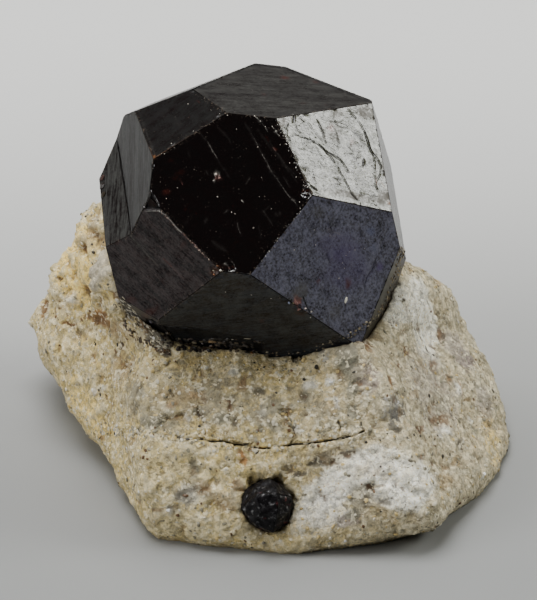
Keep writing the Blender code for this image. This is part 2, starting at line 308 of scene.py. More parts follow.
# Marks on the front of the rock: what it is, its pixel, its reach across and up in pixels, its
# turn in degrees, its tone, how strongly it covers, and how far it stands out in mm.
MARKS = (
    ("zone of grey feldspar", (210, 400), (120, 36), -2, "grey", 0.45, 0.0),
    ("zone of yellow crust, upper left", (75, 262), (32, 54), 20, "yellow", 1.0, 0.0),
    ("zone of cream, left bevel", (88, 412), (16, 52), 35, "yellow", 0.5, 0.0),
    ("zone of cream, lower left", (165, 480), (70, 40), 0, "cream", 0.5, 0.0),
    ("zone of white sugar, lower right", (352, 476), (55, 24), 28, "snow", 0.8, 0.0),
    ("zone of white sugar, low middle", (318, 512), (34, 26), 20, "white", 0.6, 0.0),
    ("zone of white, right ridge", (418, 300), (16, 38), -18, "snow", 1.0, 0.1),
    ("zone of white, below the ridge", (424, 342), (20, 34), 0, "snow", 0.7, 0.0),
    ("zone of yellow, far right", (492, 440), (14, 34), 0, "yellow", 0.45, 0.0),
    ("zone of cream, low right", (402, 486), (32, 26), 0, "snow", 1.0, 0.0),
    ("grey back of the right shoulder", (455, 306), (14, 22), -20, "grey", 0.4, 0.0),
    ("pink-grey quartz", (369, 376), (15, 24), 0, "purple", 0.56, 0.0),
    ("purple stain", (464, 358), (14, 18), -25, "purple", 0.6, 0.0),
    ("red-brown streak below it", (461, 387), (4, 9), 0, "orange", 0.7, 0.0),
    ("bluish quartz", (396, 408), (20, 18), 0, "bluish", 0.5, 0.0),
    ("dark spot in it", (406, 408), (5, 7), 0, "dark", 0.7, -0.05),
    ("dark spot under it", (393, 427), (7, 5), 0, "dark", 0.63, -0.05),
    ("dark quartz triangle", (347, 358), (12, 22), -8, "quartz", 1.0, -0.05),
    ("dark quartz tail", (352, 385), (7, 14), -15, "quartz", 0.84, 0.0),
    ("clear quartz beside it", (322, 354), (11, 12), 0, "bluish", 0.5, 0.0),
    ("clear quartz on the right shoulder", (402, 296), (8, 11), 0, "bluish", 0.9, 0.05),
    ("brown tip of the shoulder", (410, 269), (7, 5), 0, "tan", 0.98, 0.0),
    ("brown streak on the shoulder", (439, 280), (9, 4), -25, "tan", 0.98, -0.05),
    ("brown pit", (442, 335), (4, 11), 8, "brown", 1.0, -0.15),
    ("brown pit", (380, 330), (5, 4), 20, "brown", 0.7, -0.05),
    ("brown pit", (397, 322), (6, 4), 0, "brown", 0.84, -0.1),
    ("brown pit", (374, 347), (9, 3), -10, "brown", 1.0, -0.12),
    ("brown pit", (407, 351), (3, 6), 0, "brown", 0.98, -0.12),
    ("brown pit", (436, 360), (4, 5), 0, "brown", 0.84, -0.1),
    ("brown pit", (393, 382), (4, 7), 0, "brown", 0.91, -0.08),
    ("brown pit", (417, 381), (4, 5), 0, "orange", 0.84, -0.05),
    ("brown pit", (421, 429), (8, 4), 10, "brown", 0.84, -0.08),
    ("brown pit", (439, 421), (6, 3), 0, "brown", 0.77, -0.08),
    ("dark pit", (460, 443), (7, 9), -20, "dark", 0.7, -0.08),
    ("brown shade", (458, 462), (10, 8), 0, "tan", 0.7, 0.0),
    ("dark pit", (369, 487), (4, 4), 0, "dark", 0.84, -0.1),
    ("dark pit", (340, 425), (3, 6), 0, "dark", 1.0, -0.15),
    ("dark pit", (363, 425), (2.5, 6), 0, "dark", 0.98, -0.1),
    ("dark pit", (332, 416), (4, 3), 0, "dark", 0.77, -0.1),
    ("dark smear", (322, 456), (12, 5), 25, "dark", 0.7, -0.05),
    ("dark smear", (299, 475), (7, 4), 20, "dark", 1.0, -0.1),
    ("dark smear", (290, 468), (14, 3), 35, "dark", 0.56, -0.05),
    ("dark smear", (312, 463), (8, 3), 30, "dark", 0.84, -0.08),
    ("brown smear", (243, 457), (4, 11), 8, "orange", 0.98, -0.03),
    ("brown smear", (251, 449), (6, 3), 0, "brown", 0.7, 0.0),
    ("dark smear", (192, 467), (4, 8), 0, "dark", 0.7, -0.05),
    ("brown smear", (203, 486), (6, 6), 0, "brown", 0.63, -0.05),
    ("brown smear", (224, 506), (13, 4), -35, "brown", 0.77, 0.0),
    ("brown smear", (236, 487), (5, 8), 0, "brown", 0.63, 0.0),
    ("grey sugar", (186, 495), (15, 13), 0, "bluish", 0.6, 0.0),
    ("brown pit", (154, 510), (8, 3), 0, "brown", 0.84, -0.08),
    ("dark pit", (228, 532), (5, 4), 20, "dark", 0.91, -0.12),
    ("brown pit", (136, 502), (6, 4), -20, "brown", 0.63, -0.05),
    ("brown shade", (131, 441), (14, 5), -15, "tan", 0.77, 0.0),
    ("brown shade", (186, 527), (12, 7), 0, "tan", 0.49, 0.0),
    ("cream lump", (189, 449), (9, 6), 0, "cream", 0.95, 0.2),
    ("cream lump", (205, 453), (6, 5), 0, "cream", 0.9, 0.18),
    ("cream lump", (103, 409), (8, 8), 0, "cream", 0.85, 0.15),
    ("cream lump", (213, 464), (4, 4), 0, "cream", 0.7, 0.08),
    ("cream lump", (302, 438), (6, 7), 0, "cream", 0.8, 0.12),
    # The white grains at (94, 391), (170, 510), (331, 381) and (484, 475) are painted glints: white spots where the
    # rock catches the light.
    ("white grain", (94, 391), (3.5, 3.5), 0, "white", 1.0, 0.1),
    ("white grain", (170, 510), (4.5, 4.5), 0, "white", 1.0, 0.12),
    ("white grain", (331, 381), (5, 4), 0, "white", 0.9, 0.08),
    ("white grain", (284, 389), (4, 9), 0, "cream", 0.9, 0.08),
    ("white grain", (338, 403), (3, 8), 10, "white", 0.9, 0.06),
    ("white grain", (484, 475), (4, 4), 0, "white", 1.0, 0.1),
    ("white grain", (439, 434), (5, 5), 0, "white", 0.8, 0.08),
    ("white grain", (186, 416), (3, 6), 20, "white", 0.7, 0.06),
    ("white grain", (206, 366), (4, 3), 0, "white", 0.7, 0.06),
    ("dark speck", (137, 390), (4, 5), 0, "dark", 0.84, -0.06),
    ("dark speck", (231, 402), (2.5, 8), -14, "dark", 1.0, -0.08),
    ("dark speck", (236, 422), (4, 4), 0, "dark", 0.98, -0.08),
    ("dark speck", (199, 412), (3, 6), -12, "brown", 0.98, -0.08),
    ("dark speck", (259, 393), (4, 5), -20, "dark", 0.7, -0.05),
    ("dark speck", (243, 382), (4, 8), -25, "brown", 0.63, -0.03),
    ("dark speck", (285, 415), (3, 10), -15, "brown", 0.63, -0.03),
    ("dark speck", (296, 361), (3, 6), 20, "dark", 0.84, -0.08),
    ("dark speck", (118, 344), (4, 6), 0, "dark", 1.0, -0.2),
    ("orange speck", (173, 404), (5, 4), 0, "orange", 0.84, 0.0),
    ("orange speck", (195, 393), (8, 4), 10, "orange", 0.49, 0.0),
    ("brown hole", (54, 278), (5, 4), 0, "brown", 1.0, -0.35),
    ("brown hole", (90, 232), (6, 6), 0, "brown", 1.0, -0.3),
    ("tan hollow", (80, 245), (9, 9), 0, "tan", 0.84, -0.15),
    ("brown crevice", (41, 303), (4, 12), 10, "brown", 1.0, -0.35),
    ("brown crevice", (67, 323), (11, 3), 8, "brown", 1.0, -0.25),
    ("orange crevice", (97, 315), (13, 5), -14, "orange", 1.0, -0.1),
    ("brown crevice", (84, 291), (4, 8), -25, "brown", 0.84, -0.15),
    ("brown crevice", (60, 307), (6, 3), 0, "brown", 0.91, -0.15),
    ("bright knob", (75, 298), (8, 8), 0, "white", 0.85, 0.35),
    ("bright knob", (72, 261), (4, 10), 15, "cream", 0.9, 0.2),
    ("bright knob", (112, 309), (5, 5), 0, "cream", 0.95, 0.2),
    ("bright knob", (54, 293), (6, 5), 0, "cream", 0.8, 0.2),
    ("bright knob", (60, 270), (6, 5), 0, "cream", 0.7, 0.15),
    ("bright knob", (88, 222), (5, 5), 0, "cream", 0.8, 0.15),
    ("oval grain", (101, 271), (9, 24), -8, "rose grey", 0.9, 0.35),
    ("grey stain", (138, 345), (14, 8), -35, "grey", 0.5, 0.0),
    ("tan zone, left", (118, 330), (34, 12), -12, "tan", 0.7, 0.0),
    ("tan zone, left", (122, 368), (26, 16), -20, "tan", 0.63, 0.0),
    ("tan zone, middle", (176, 395), (22, 12), 0, "tan", 0.49, 0.0),
    ("rose grey zone, right", (432, 392), (52, 50), 0, "rose grey", 0.6, 0.0),
    ("white zone, shoulder", (400, 304), (17, 28), -15, "snow", 0.8, 0.0),
    ("brown smudge", (102, 437), (8, 3.5), -10, "brown", 0.84, -0.04),
    ("dark smudge", (136, 432), (5, 2.5), 0, "dark", 0.84, -0.05),
    ("dark smudge", (136, 390), (9, 15), 0, "dark", 0.49, 0.0),
    ("dark smudge", (134, 407), (8, 6), 0, "dark", 0.7, -0.04),
    ("grey smudge", (152, 423), (26, 7), 0, "quartz", 0.7, 0.0),
    ("dark smudge", (200, 412), (7, 8), 0, "dark", 0.7, -0.04),
    ("dark smudge", (256, 390), (7, 5), 10, "dark", 0.7, -0.04),
    ("grey smudge", (275, 406), (9, 9), 0, "quartz", 0.6, 0.0),
    ("grey smudge", (272, 428), (13, 6), 0, "quartz", 0.6, 0.0),
    ("grey smudge", (325, 428), (9, 8), 0, "quartz", 0.6, 0.0),
    ("dark smudge", (398, 414), (12, 8), 20, "dark", 0.63, -0.03),
    ("dark smudge", (400, 431), (6, 4), 0, "dark", 0.7, -0.03),
    ("dark smudge", (341, 457), (19, 5), 22, "dark", 0.7, -0.04),
    ("dark smudge", (319, 462), (12, 5), 22, "dark", 0.7, -0.04),
    ("dark smudge", (372, 496), (13, 11), 20, "dark", 0.59, -0.04),
    ("dark smudge", (389, 501), (4, 3), 0, "dark", 1.0, -0.06),
    ("purple smudge", (350, 521), (17, 8), 12, "purple", 0.6, 0.0),
    ("dark smudge", (194, 471), (6, 11), 5, "dark", 0.56, -0.03),
    ("brown smudge", (206, 492), (13, 4), -20, "brown", 0.7, -0.03),
    ("dark smudge", (172, 509), (9, 4), 0, "dark", 0.63, -0.03),
    ("tan smudge", (225, 502), (9, 12), 0, "tan", 0.77, 0.0),
    ("purple smudge", (468, 360), (16, 18), 0, "purple", 0.5, 0.0),
    ("brown smudge", (441, 421), (18, 8), 12, "brown", 0.7, -0.03),
    ("grey smudge", (475, 428), (8, 8), 0, "quartz", 0.7, 0.0),
    ("brown smudge", (366, 343), (8, 3), 0, "brown", 0.84, -0.04),
    ("brown smudge", (376, 337), (12, 5), 12, "tan", 0.98, -0.03),
    ("brown smudge", (400, 365), (4, 6), 0, "brown", 0.77, -0.04),
    ("brown smudge", (434, 365), (5, 7), 0, "brown", 0.84, -0.04),
    ("tan smudge", (416, 393), (7, 6), 0, "tan", 0.77, 0.0),
    ("brown smudge", (394, 393), (5, 8), 0, "brown", 0.7, -0.03),
    ("tan smudge", (488, 415), (9, 12), 0, "tan", 0.77, 0.0),
    ("brown speck", (503, 459), (3.5, 3), 0, "brown", 1.0, -0.08),
    ("brown smudge", (422, 456), (8, 4), 15, "brown", 0.84, -0.04),
    ("brown smudge", (434, 463), (6, 3), 0, "brown", 0.77, -0.04),
    ("brown smudge", (411, 470), (7, 4), 20, "tan", 0.84, -0.03),
    ("dark smudge", (352, 412), (6, 9), 0, "quartz", 0.77, 0.0),
    ("dark smudge", (305, 395), (5, 10), -10, "quartz", 0.7, 0.0),
    ("dark smudge", (170, 372), (12, 6), -20, "quartz", 0.35, 0.0),
    ("dark smudge", (222, 418), (9, 5), 0, "quartz", 0.7, 0.0),
    ("white patch", (232, 371), (8, 4), 0, "white", 0.5, 0.03),
    ("white patch", (262, 413), (5, 6), 0, "white", 0.6, 0.05),
    ("white patch", (312, 385), (8, 6), 0, "white", 0.55, 0.04),
    ("white patch", (297, 428), (7, 8), 0, "white", 0.6, 0.06),
    ("brown contact", (97, 213), (4, 14), 8, "brown", 0.9, -0.05),
    ("brown contact", (101, 243), (3, 11), 8, "brown", 0.8, -0.05),
    ("brown contact", (112, 296), (5, 8), -30, "brown", 0.8, -0.05),
    ("brown stain, upper left", (70, 235), (10, 9), 30, "tan", 0.7, -0.05),
    ("brown stain, left", (45, 315), (8, 10), 0, "tan", 0.7, -0.05),
    # Partly a brown crevice, partly painted shadow: these dark marks along and under the mica stand in for the shade
    # in the crevice.
    ("mica groove with painted shadow", (121, 305), (9, 6), -42, "brown", 1.0, -0.08),
    ("mica groove with painted shadow", (130, 316), (10, 7), -42, "dark", 1.0, -0.1),
    ("mica groove with painted shadow", (140, 327), (10, 8), -42, "brown", 1.0, -0.1),
    ("mica groove with painted shadow", (151, 338), (10, 8), -42, "dark", 1.0, -0.1),
    ("mica groove with painted shadow", (164, 348), (10, 7), -30, "dark", 1.0, -0.1),
    # Painted light: the underside at the left is painted paler, against the shade where the rock curves under.
    ("painted light on the underside, left", (190, 528), (52, 13), 0, "cream", 0.8, 0.0),
    ("grey groundmass, left band", (128, 395), (16, 18), 0, "grey", 0.45, 0.0),
    ("grey groundmass, middle band", (212, 392), (13, 20), -12, "grey", 0.5, 0.0),
    ("grey groundmass, middle band", (263, 418), (16, 12), 0, "grey", 0.5, 0.0),
    ("grey groundmass, right band", (318, 408), (14, 16), 0, "grey", 0.5, 0.0),
    ("grey groundmass, right", (455, 345), (16, 20), 0, "rose grey", 0.8, 0.0),
    ("grey groundmass, right", (440, 400), (20, 12), 20, "grey", 0.6, 0.0),
    ("grey groundmass, far right", (486, 400), (14, 20), 0, "rose grey", 0.8, 0.0),
    ("grey groundmass, low right", (445, 480), (20, 12), 20, "tan", 0.6, 0.0),
    ("grey groundmass, low middle", (360, 500), (12, 16), 30, "grey", 0.7, -0.03),
    ("brown shade under the knobs", (92, 318), (24, 5), -5, "brown", 0.9, -0.1),
    ("brown crevice at the left tip", (42, 308), (7, 15), 10, "brown", 1.0, -0.25),
    # Partly white feldspar, partly painted light: the shoulder, shaded by the crystal, is painted whiter.
    ("white feldspar and painted light, shoulder", (424, 318), (22, 24), 0, "snow", 0.7, 0.0),
    ("white feldspar, low right", (418, 482), (34, 22), 20, "snow", 0.75, 0.0),
    ("brown mottle, right", (468, 398), (8, 5), 20, "tan", 0.8, -0.04),
    ("brown mottle, right", (450, 378), (7, 4), -20, "brown", 0.6, -0.04),
    ("brown mottle, right", (430, 408), (8, 4), 10, "tan", 0.8, -0.04),
    ("dark mottle, right", (478, 385), (4, 5), 0, "quartz", 0.8, -0.04),
    ("white mottle, right", (458, 388), (6, 7), 0, "snow", 0.7, 0.04),
    ("white mottle, right", (446, 430), (9, 6), 0, "snow", 0.7, 0.04),
    ("white mottle, right", (472, 418), (6, 5), 0, "snow", 0.6, 0.04),
    ("hollow beside the crystal, upper left", (89, 208), (14, 17), 30, "tan", 0.5, -0.55),
    ("hollow below it", (71, 238), (12, 15), 30, "tan", 0.3, -0.3),
    ("brown crevice, upper left", (66, 262), (4, 9), 20, "brown", 0.9, -0.15),
    ("brown crevice, upper left", (78, 248), (8, 3.5), -20, "brown", 0.9, -0.12),
    ("brown crevice, left", (100, 322), (16, 4), -22, "brown", 0.9, -0.12),
    ("dark mica", (459, 446), (4, 6), 0, "dark", 0.9, -0.06),
    ("dark mica", (237, 421), (4, 7), 10, "dark", 0.8, -0.06),
    ("dark mica", (372, 487), (6, 5), 30, "dark", 0.95, -0.06),
    ("dark mica", (364, 502), (5, 6), 0, "dark", 0.9, -0.06),
    ("dark mica", (384, 501), (5, 4), 0, "dark", 0.85, -0.06),
    ("dark mica", (194, 471), (4, 8), 0, "quartz", 1.0, -0.04),
    ("dark mica", (178, 494), (7, 5), 20, "dark", 0.7, -0.04),
    ("dark mica", (352, 516), (9, 5), 15, "quartz", 1.0, -0.04),
    ("ochre beside the crystal", (88, 228), (10, 16), 25, "tan", 0.95, -0.05),
)
# The crack across the front and its side branches, as pixels along each.
CRACKS = (
    ((100, 428), (120, 431), (136, 434), (180, 437), (206, 440), (222, 441), (240, 444), (260, 447),
     (272, 448), (288, 446), (300, 444), (312, 442), (325, 440), (340, 438), (352, 436), (364, 432)),
    ((206, 440), (203, 429), (199, 418), (198, 409)),
    ((290, 446), (296, 438), (292, 425), (286, 410)),
    ((338, 438), (340, 428), (341, 419)),
    ((290, 352), (294, 362)),
    ((297, 352), (301, 361)),
)
CRACK_FAINT_BEFORE = 172  # pixel column left of which the crack is only a faint line
CRACK_WIDTH, CRACK_DEPTH = 0.07, 0.27
VOXEL = 0.19


def mark_weights(points, centre, reach, turn):
    """1 in the middle of a mark and 0 beyond its ragged outline."""
    angle = math.radians(turn)
    across = CAMERA_RIGHT * math.cos(angle) + CAMERA_UP * math.sin(angle)
    along = CAMERA_UP * math.cos(angle) - CAMERA_RIGHT * math.sin(angle)
    away = points - np.array(centre)
    rx, ry = (r / PIXELS_PER_MM for r in reach)
    rz = max(rx, ry) * 1.2
    d2 = (away @ np.array(across) / rx) ** 2 + (away @ np.array(along) / ry) ** 2
    d2 += (away @ np.array(CAMERA_BACK) / rz) ** 2
    return 1.0 - smooth(0.45, 1.35, np.sqrt(d2))


def distance_to_line(points, line):
    """Each point's distance from a line of straight runs, and how far along it lies, 0 to 1."""
    best = np.full(len(points), 1e9)
    share = np.zeros(len(points))
    for i, (a, b) in enumerate(zip(line, line[1:])):
        a, b = np.array(a), np.array(b)
        t = np.clip((points - a) @ (b - a) / ((b - a) @ (b - a)), 0.0, 1.0)
        away = np.linalg.norm(points - a - t[:, None] * (b - a), axis=1)
        nearer = away < best
        best[nearer] = away[nearer]
        share[nearer] = (i + t[nearer]) / (len(line) - 1)
    return best, share


def remeshed(bm, voxel):
    """A mesh of even quads over a closed bmesh."""
    rough = bpy.data.meshes.new("rough")
    bm.to_mesh(rough)
    bm.free()
    holder = bpy.data.objects.new("rough", rough)
    bpy.context.scene.collection.objects.link(holder)
    remesh = holder.modifiers.new("remesh", "REMESH")
    remesh.mode = "VOXEL"
    remesh.voxel_size = voxel
    graph = bpy.context.evaluated_depsgraph_get()
    mesh = bpy.data.meshes.new_from_object(holder.evaluated_get(graph))
    bpy.data.objects.remove(holder)
    bpy.data.meshes.remove(rough)
    return mesh


def refine(mesh, wanted, cuts):
    """Subdivide the faces near the vertices for which wanted is true."""
    bm = bmesh.new()
    bm.from_mesh(mesh)
    bm.verts.ensure_lookup_table()
    edges = [e for e in bm.edges if wanted[e.verts[0].index] and wanted[e.verts[1].index]]
    bmesh.ops.subdivide_edges(bm, edges=edges, cuts=cuts, use_grid_fill=True)
    bm.to_mesh(mesh)
    bm.free()


def rock_mesh():
    mesh = remeshed(node_bmesh("matrix"), VOXEL)
    edges = get_edges(mesh)
    points = get_points(mesh)
    flat_under = points[:, 2] < 0.05
    points = relax(points, edges, 22)
    points[flat_under, 2] = 0.0
    set_points(mesh, points)

    lines = [[on_solid(ROCK_TREE, pixel) for pixel in line] for line in CRACKS]
    near = np.min([distance_to_line(points, line)[0] for line in lines], axis=0)
    refine(mesh, near < 0.45, 2)
    points, normals = get_points(mesh), get_normals(mesh)
    edges = get_edges(mesh)
    flat_under = points[:, 2] < 0.02

    above = smooth(0.0, 1.0, points[:, 2])
    outside, _ = outside_of(points, GARNET_PLANES)
    near_garnet = 1.0 - smooth(0.3, 1.4, outside)
    rough_left = smooth(-9.0, -13.0, points[:, 0]) * smooth(5.0, 8.0, points[:, 2])

    # Relief, from the broad breaks down to the grains.
    moved = warp(points, 1.6, 0.35)
    relief = 0.11 * broken_facets(moved, 1.9)
    relief += (0.07 + 0.13 * rough_left) * broken_facets(moved, 0.8, 11.3)
    relief += 0.05 * broken_facets(points, 0.4, 5.1)
    relief += 0.10 * wave(points, 3.2, 2.7) + 0.05 * wave(points, 0.9, 8.2)
    relief += 0.25 * rough_left * wave(points, 1.1, 4.4)
    relief *= (1.0 - 0.6 * near_garnet) * (0.25 + 0.75 * above)

    tone = np.zeros((len(points), 3))
    cover = np.zeros(len(points))
    ragged = warp(points, 0.55, 0.28, 3.3)
    for _, pixel, reach, turn, name, strength, height in MARKS:
        centre = on_solid(ROCK_TREE, pixel)
        weight = mark_weights(ragged, centre, reach, turn)
        relief += height * weight
        weight = (strength * weight)[:, None]
        tone = tone * (1.0 - weight) + weight * np.array(srgb(*TONES[name])[:3])
        cover = cover * (1.0 - weight[:, 0]) + weight[:, 0]

    crack = np.zeros(len(points))
    for k, line in enumerate(lines):
        away, share = distance_to_line(warp(points, 0.8, 0.12, 9.1), line)
        if k == 0:
            first, last = CRACKS[0][0][0], CRACKS[0][-1][0]
            column = first + share * (last - first)
            strength = 0.25 + 0.75 * smooth(CRACK_FAINT_BEFORE - 20, CRACK_FAINT_BEFORE + 10, column)
        else:
            strength = 0.5 + 0.3 * wave(points, 0.5, 4.9)
        crack = np.maximum(crack, strength * np.exp(-((away / CRACK_WIDTH) ** 2)))
    relief -= CRACK_DEPTH * crack

    points = points + normals * relief[:, None]

    # The rock closes on both crystals, so that no gap shows round them.
    for planes, hold in ((GARNET_PLANES, 0.8), (SMALL_PLANES, 0.6)):
        outside, facing = outside_of(points, planes)
        sunk = -0.05 + 0.05 * wave(points, 0.5, 6.6)
        share = np.clip((outside - 0.32) / (hold - 0.32), 0.0, 1.0)
        wanted = sunk * (1.0 - share) + outside * share
        change = np.where(outside < hold, wanted - outside, 0.0)
        points = points + facing * change[:, None]

    points[:, 2] = np.maximum(points[:, 2], 0.0)
    points[flat_under, 2] = 0.0
    set_points(mesh, points)

    # Hollows hold brown dirt: how far a vertex lies below the mean of its surroundings.
    around = relax(points, edges, 30)
    hollow = np.einsum("ij,ij->i", around - points, get_normals(mesh))
    add_attribute(mesh, "hollow", np.clip(hollow / 0.12, -1.0, 1.0), "FLOAT")
    add_attribute(mesh, "mark", np.column_stack([tone / np.maximum(cover, 1e-4)[:, None], cover]), "FLOAT_COLOR")
    add_attribute(mesh, "crack", crack, "FLOAT")
    # Painted shade: the upper front of the rock, away from the left and the back, is painted greyer.
    upper = smooth(5.6, 6.8, points[:, 2] + 0.02 * points[:, 0])
    left = smooth(-8.0, -13.0, points[:, 0])
    add_attribute(mesh, "painted_shade_band", upper * (1.0 - left) * (1.0 - smooth(2.0, 8.0, points[:, 1])), "FLOAT")
    # Closeness to the crystal, for brown stain and painted shade where the rock meets it.
    outside, _ = outside_of(points, GARNET_PLANES)
    add_attribute(mesh, "contact", 1.0 - smooth(0.05, 0.45, outside), "FLOAT")
    mesh.shade_smooth()
    return mesh


def rock_material():
    n = Nodes("pegmatite")
    place = n.millimetres()
    drift = n.add("TexNoise", {"Vector": place, "Scale": 2.2, "Detail": 2.0}, out="Color")
    drift = n.add("VectorMath", {0: drift, 1: (0.5, 0.5, 0.5)}, operation="SUBTRACT")
    drift = n.add("VectorMath", {0: drift, "Scale": 0.5}, operation="SCALE")
    bent = n.add("VectorMath", {0: place, 1: drift}, operation="ADD")

    cream, beige, grey = srgb(212, 188, 120), srgb(178, 158, 104), srgb(144, 136, 106)
    white, tan, brown = srgb(224, 214, 184), srgb(160, 128, 74), srgb(100, 68, 34)
    dark = srgb(44, 40, 32)

    # Broad change between cream and grey feldspar, and painted shade: the upper front is painted greyer.
    broad = n.ramp(n.noise(place, 3.4, 4.0, 0.6), 0.38, 0.62)
    band = n.attribute("painted_shade_band")
    amount = n.math("ADD", n.math("MULTIPLY", broad, 0.35), n.math("MULTIPLY", band, 0.5), clamp=True)
    colour = n.mix(amount, cream, beige)
    # Partly a whiter tone, partly painted light: the rock is painted paler towards the right, where the window light
    # falls.
    side = n.ramp(n.add("SeparateXYZ", {0: place}), -3.0, 9.0)
    colour = n.mix(n.math("MULTIPLY", side, 0.6), colour, srgb(190, 182, 162))

    # Clouds of grey feldspar and of white sugar, with ragged borders.
    cloud = n.ramp(n.noise(bent, 1.3, 9.0, 0.8), 0.52, 0.6)
    colour = n.mix(n.math("MULTIPLY", cloud, 0.45), colour, grey)
    sugar = n.ramp(n.noise(n.stretched(bent, (0.4, 0.9, 0.2), (1.0, 1.0, 1.0)), 0.8, 9.0, 0.8), 0.54, 0.61)
    colour = n.mix(n.math("MULTIPLY", sugar, 0.6), colour, white)

    # Grains of quartz, feldspar and white sugar, each of its own tone.
    grain = n.add("SeparateColor", {0: n.cells(bent, 0.62)}, out=0)
    colour = n.mix(n.math("MULTIPLY", n.ramp(grain, 0.66, 0.8), 0.3), colour, grey)
    colour = n.mix(n.math("MULTIPLY", n.ramp(grain, 0.3, 0.12), 0.3), colour, white)
    small = n.add("SeparateColor", {0: n.cells(bent, 0.27)}, out=1)
    colour = n.mix(n.math("MULTIPLY", n.ramp(small, 0.7, 0.95), 0.4), colour, white)
    colour = n.mix(n.math("MULTIPLY", n.ramp(small, 0.3, 0.05), 0.4), colour, grey)

    # Marks placed one by one, their edges broken by the grain.
    cover = n.attribute("mark", "Alpha")
    ragged = n.math("ADD", cover, n.math("MULTIPLY", n.math("SUBTRACT", n.noise(bent, 0.5, 8.0, 0.75), 0.5), 2.5))
    amount = n.math("MULTIPLY", n.ramp(ragged, 0.3, 0.62), n.math("ADD", n.math("MULTIPLY", cover, 0.4), 0.55))
    cover = n.math("MULTIPLY", n.ramp(cover, 0.02, 0.2), n.math("ADD", n.math("MULTIPLY", amount, 0.85), n.math("MULTIPLY", cover, 0.15)))
    colour = n.mix(cover, colour, n.attribute("mark", "Color"))

    # Brown stain in patches and in hollows.
    hollow = n.attribute("hollow")
    patch = n.ramp(n.noise(bent, 1.5, 4.0, 0.6), 0.56, 0.72)
    colour = n.mix(n.math("MULTIPLY", patch, 0.38), colour, tan)
    dirt = n.math("MULTIPLY", n.ramp(hollow, 0.25, 0.95), n.ramp(n.noise(place, 0.9, 3.0), 0.35, 0.6))
    colour = n.mix(n.math("MULTIPLY", dirt, 0.7), colour, brown)

    # Dark specks drawn out along the rock's grain.
    drawn = n.stretched(bent, (0.0, 0.35, 0.0), (1.0, 1.0, 0.6))
    smudge = n.math("MULTIPLY", n.ramp(n.noise(drawn, 1.0, 9.0, 0.8), 0.56, 0.64), n.ramp(n.noise(place, 2.8, 2.0), 0.4, 0.6))
    colour = n.mix(n.math("MULTIPLY", smudge, 0.6), colour, srgb(84, 78, 62))
    specks = n.ramp(n.noise(drawn, 0.34, 4.0, 0.7), 0.62, 0.72)
    where = n.ramp(n.noise(place, 2.1, 2.0), 0.4, 0.6)
    colour = n.mix(n.math("MULTIPLY", n.math("MULTIPLY", specks, where), 0.75), colour, dark)
    dots = n.math("MULTIPLY", n.ramp(n.noise(place, 0.15, 2.0, 0.6), 0.64, 0.72), n.ramp(n.noise(place, 1.0, 2.0), 0.45, 0.6))
    colour = n.mix(n.math("MULTIPLY", dots, 0.6), colour, brown)

    # Crumbs of pale feldspar and of dark mica, each kind in clusters.
    shaken = n.add("TexNoise", {"Vector": place, "Scale": 9.0, "Detail": 2.0}, out="Color")
    shaken = n.add("VectorMath", {0: shaken, 1: (0.5, 0.5, 0.5)}, operation="SUBTRACT")
    shaken = n.add("VectorMath", {0: shaken, "Scale": 0.22}, operation="SCALE")
    shaken = n.add("VectorMath", {0: bent, 1: shaken}, operation="ADD")
    crumb = n.add("SeparateColor", {0: n.cells(shaken, 0.22)}, out=0)
    cluster = n.noise(bent, 1.1, 5.0, 0.7)
    pale = n.math("MULTIPLY", n.ramp(crumb, 0.7, 0.78), n.ramp(cluster, 0.44, 0.54))
    colour = n.mix(n.math("MULTIPLY", pale, 0.6), colour, srgb(242, 232, 200))
    murky = n.math("MULTIPLY", n.ramp(crumb, 0.28, 0.2), n.ramp(cluster, 0.54, 0.46))
    colour = n.mix(n.math("MULTIPLY", murky, 0.5), colour, srgb(98, 88, 66))

    # The grain of the broken surface itself.
    fine = n.noise(place, 0.14, 4.0, 0.65)
    chunk = n.ramp(n.noise(bent, 0.4, 8.0, 0.75), 0.43, 0.57)
    chunk = n.math("MULTIPLY", n.math("SUBTRACT", chunk, 0.5), n.math("ADD", n.math("MULTIPLY", side, 0.15), 0.48))
    value = n.math("ADD", n.math("MULTIPLY", fine, 1.1), n.math("ADD", chunk, 0.53))
    colour = n.add("HueSaturation", {"Color": colour, "Value": value})
    crest = n.ramp(hollow, -0.1, -0.9)
    colour = n.mix(n.math("MULTIPLY", crest, 0.25), colour, white)

    crack = n.attribute("crack")
    colour = n.mix(n.ramp(crack, 0.25, 0.8), colour, srgb(44, 38, 30))
    # Along the crystal the rock is darkened towards brown: partly brown stain, partly painted shade where the rock
    # meets the crystal.
    contact = n.math("MULTIPLY", n.attribute("contact"), n.ramp(n.noise(place, 0.5, 2.0), 0.3, 0.55))
    colour = n.mix(n.math("MULTIPLY", contact, 0.75), colour, srgb(70, 56, 40))
    n.put(n.shader, "Base Color", colour)

    roughness = n.math("ADD", n.math("MULTIPLY", n.noise(place, 0.3, 2.0), 0.5), 0.35)
    n.put(n.shader, "Roughness", roughness)
    n.put(n.shader, "Specular IOR Level", 0.45)
    height = n.math("ADD", fine, n.math("MULTIPLY", n.cells(bent, 0.27, "Distance"), 0.7))
    height = n.math("ADD", height, n.math("MULTIPLY", n.noise(place, 0.07, 2.0), 0.35))
    height = n.math("ADD", height, n.math("MULTIPLY", crumb, 0.5))
    bump = n.add("Bump", {"Strength": 0.9, "Distance": 0.00007, "Height": height})
    n.put(n.shader, "Normal", bump)
    return n.material


# ---------------------------------------------------------------- the crystals
BEVEL = 0.035
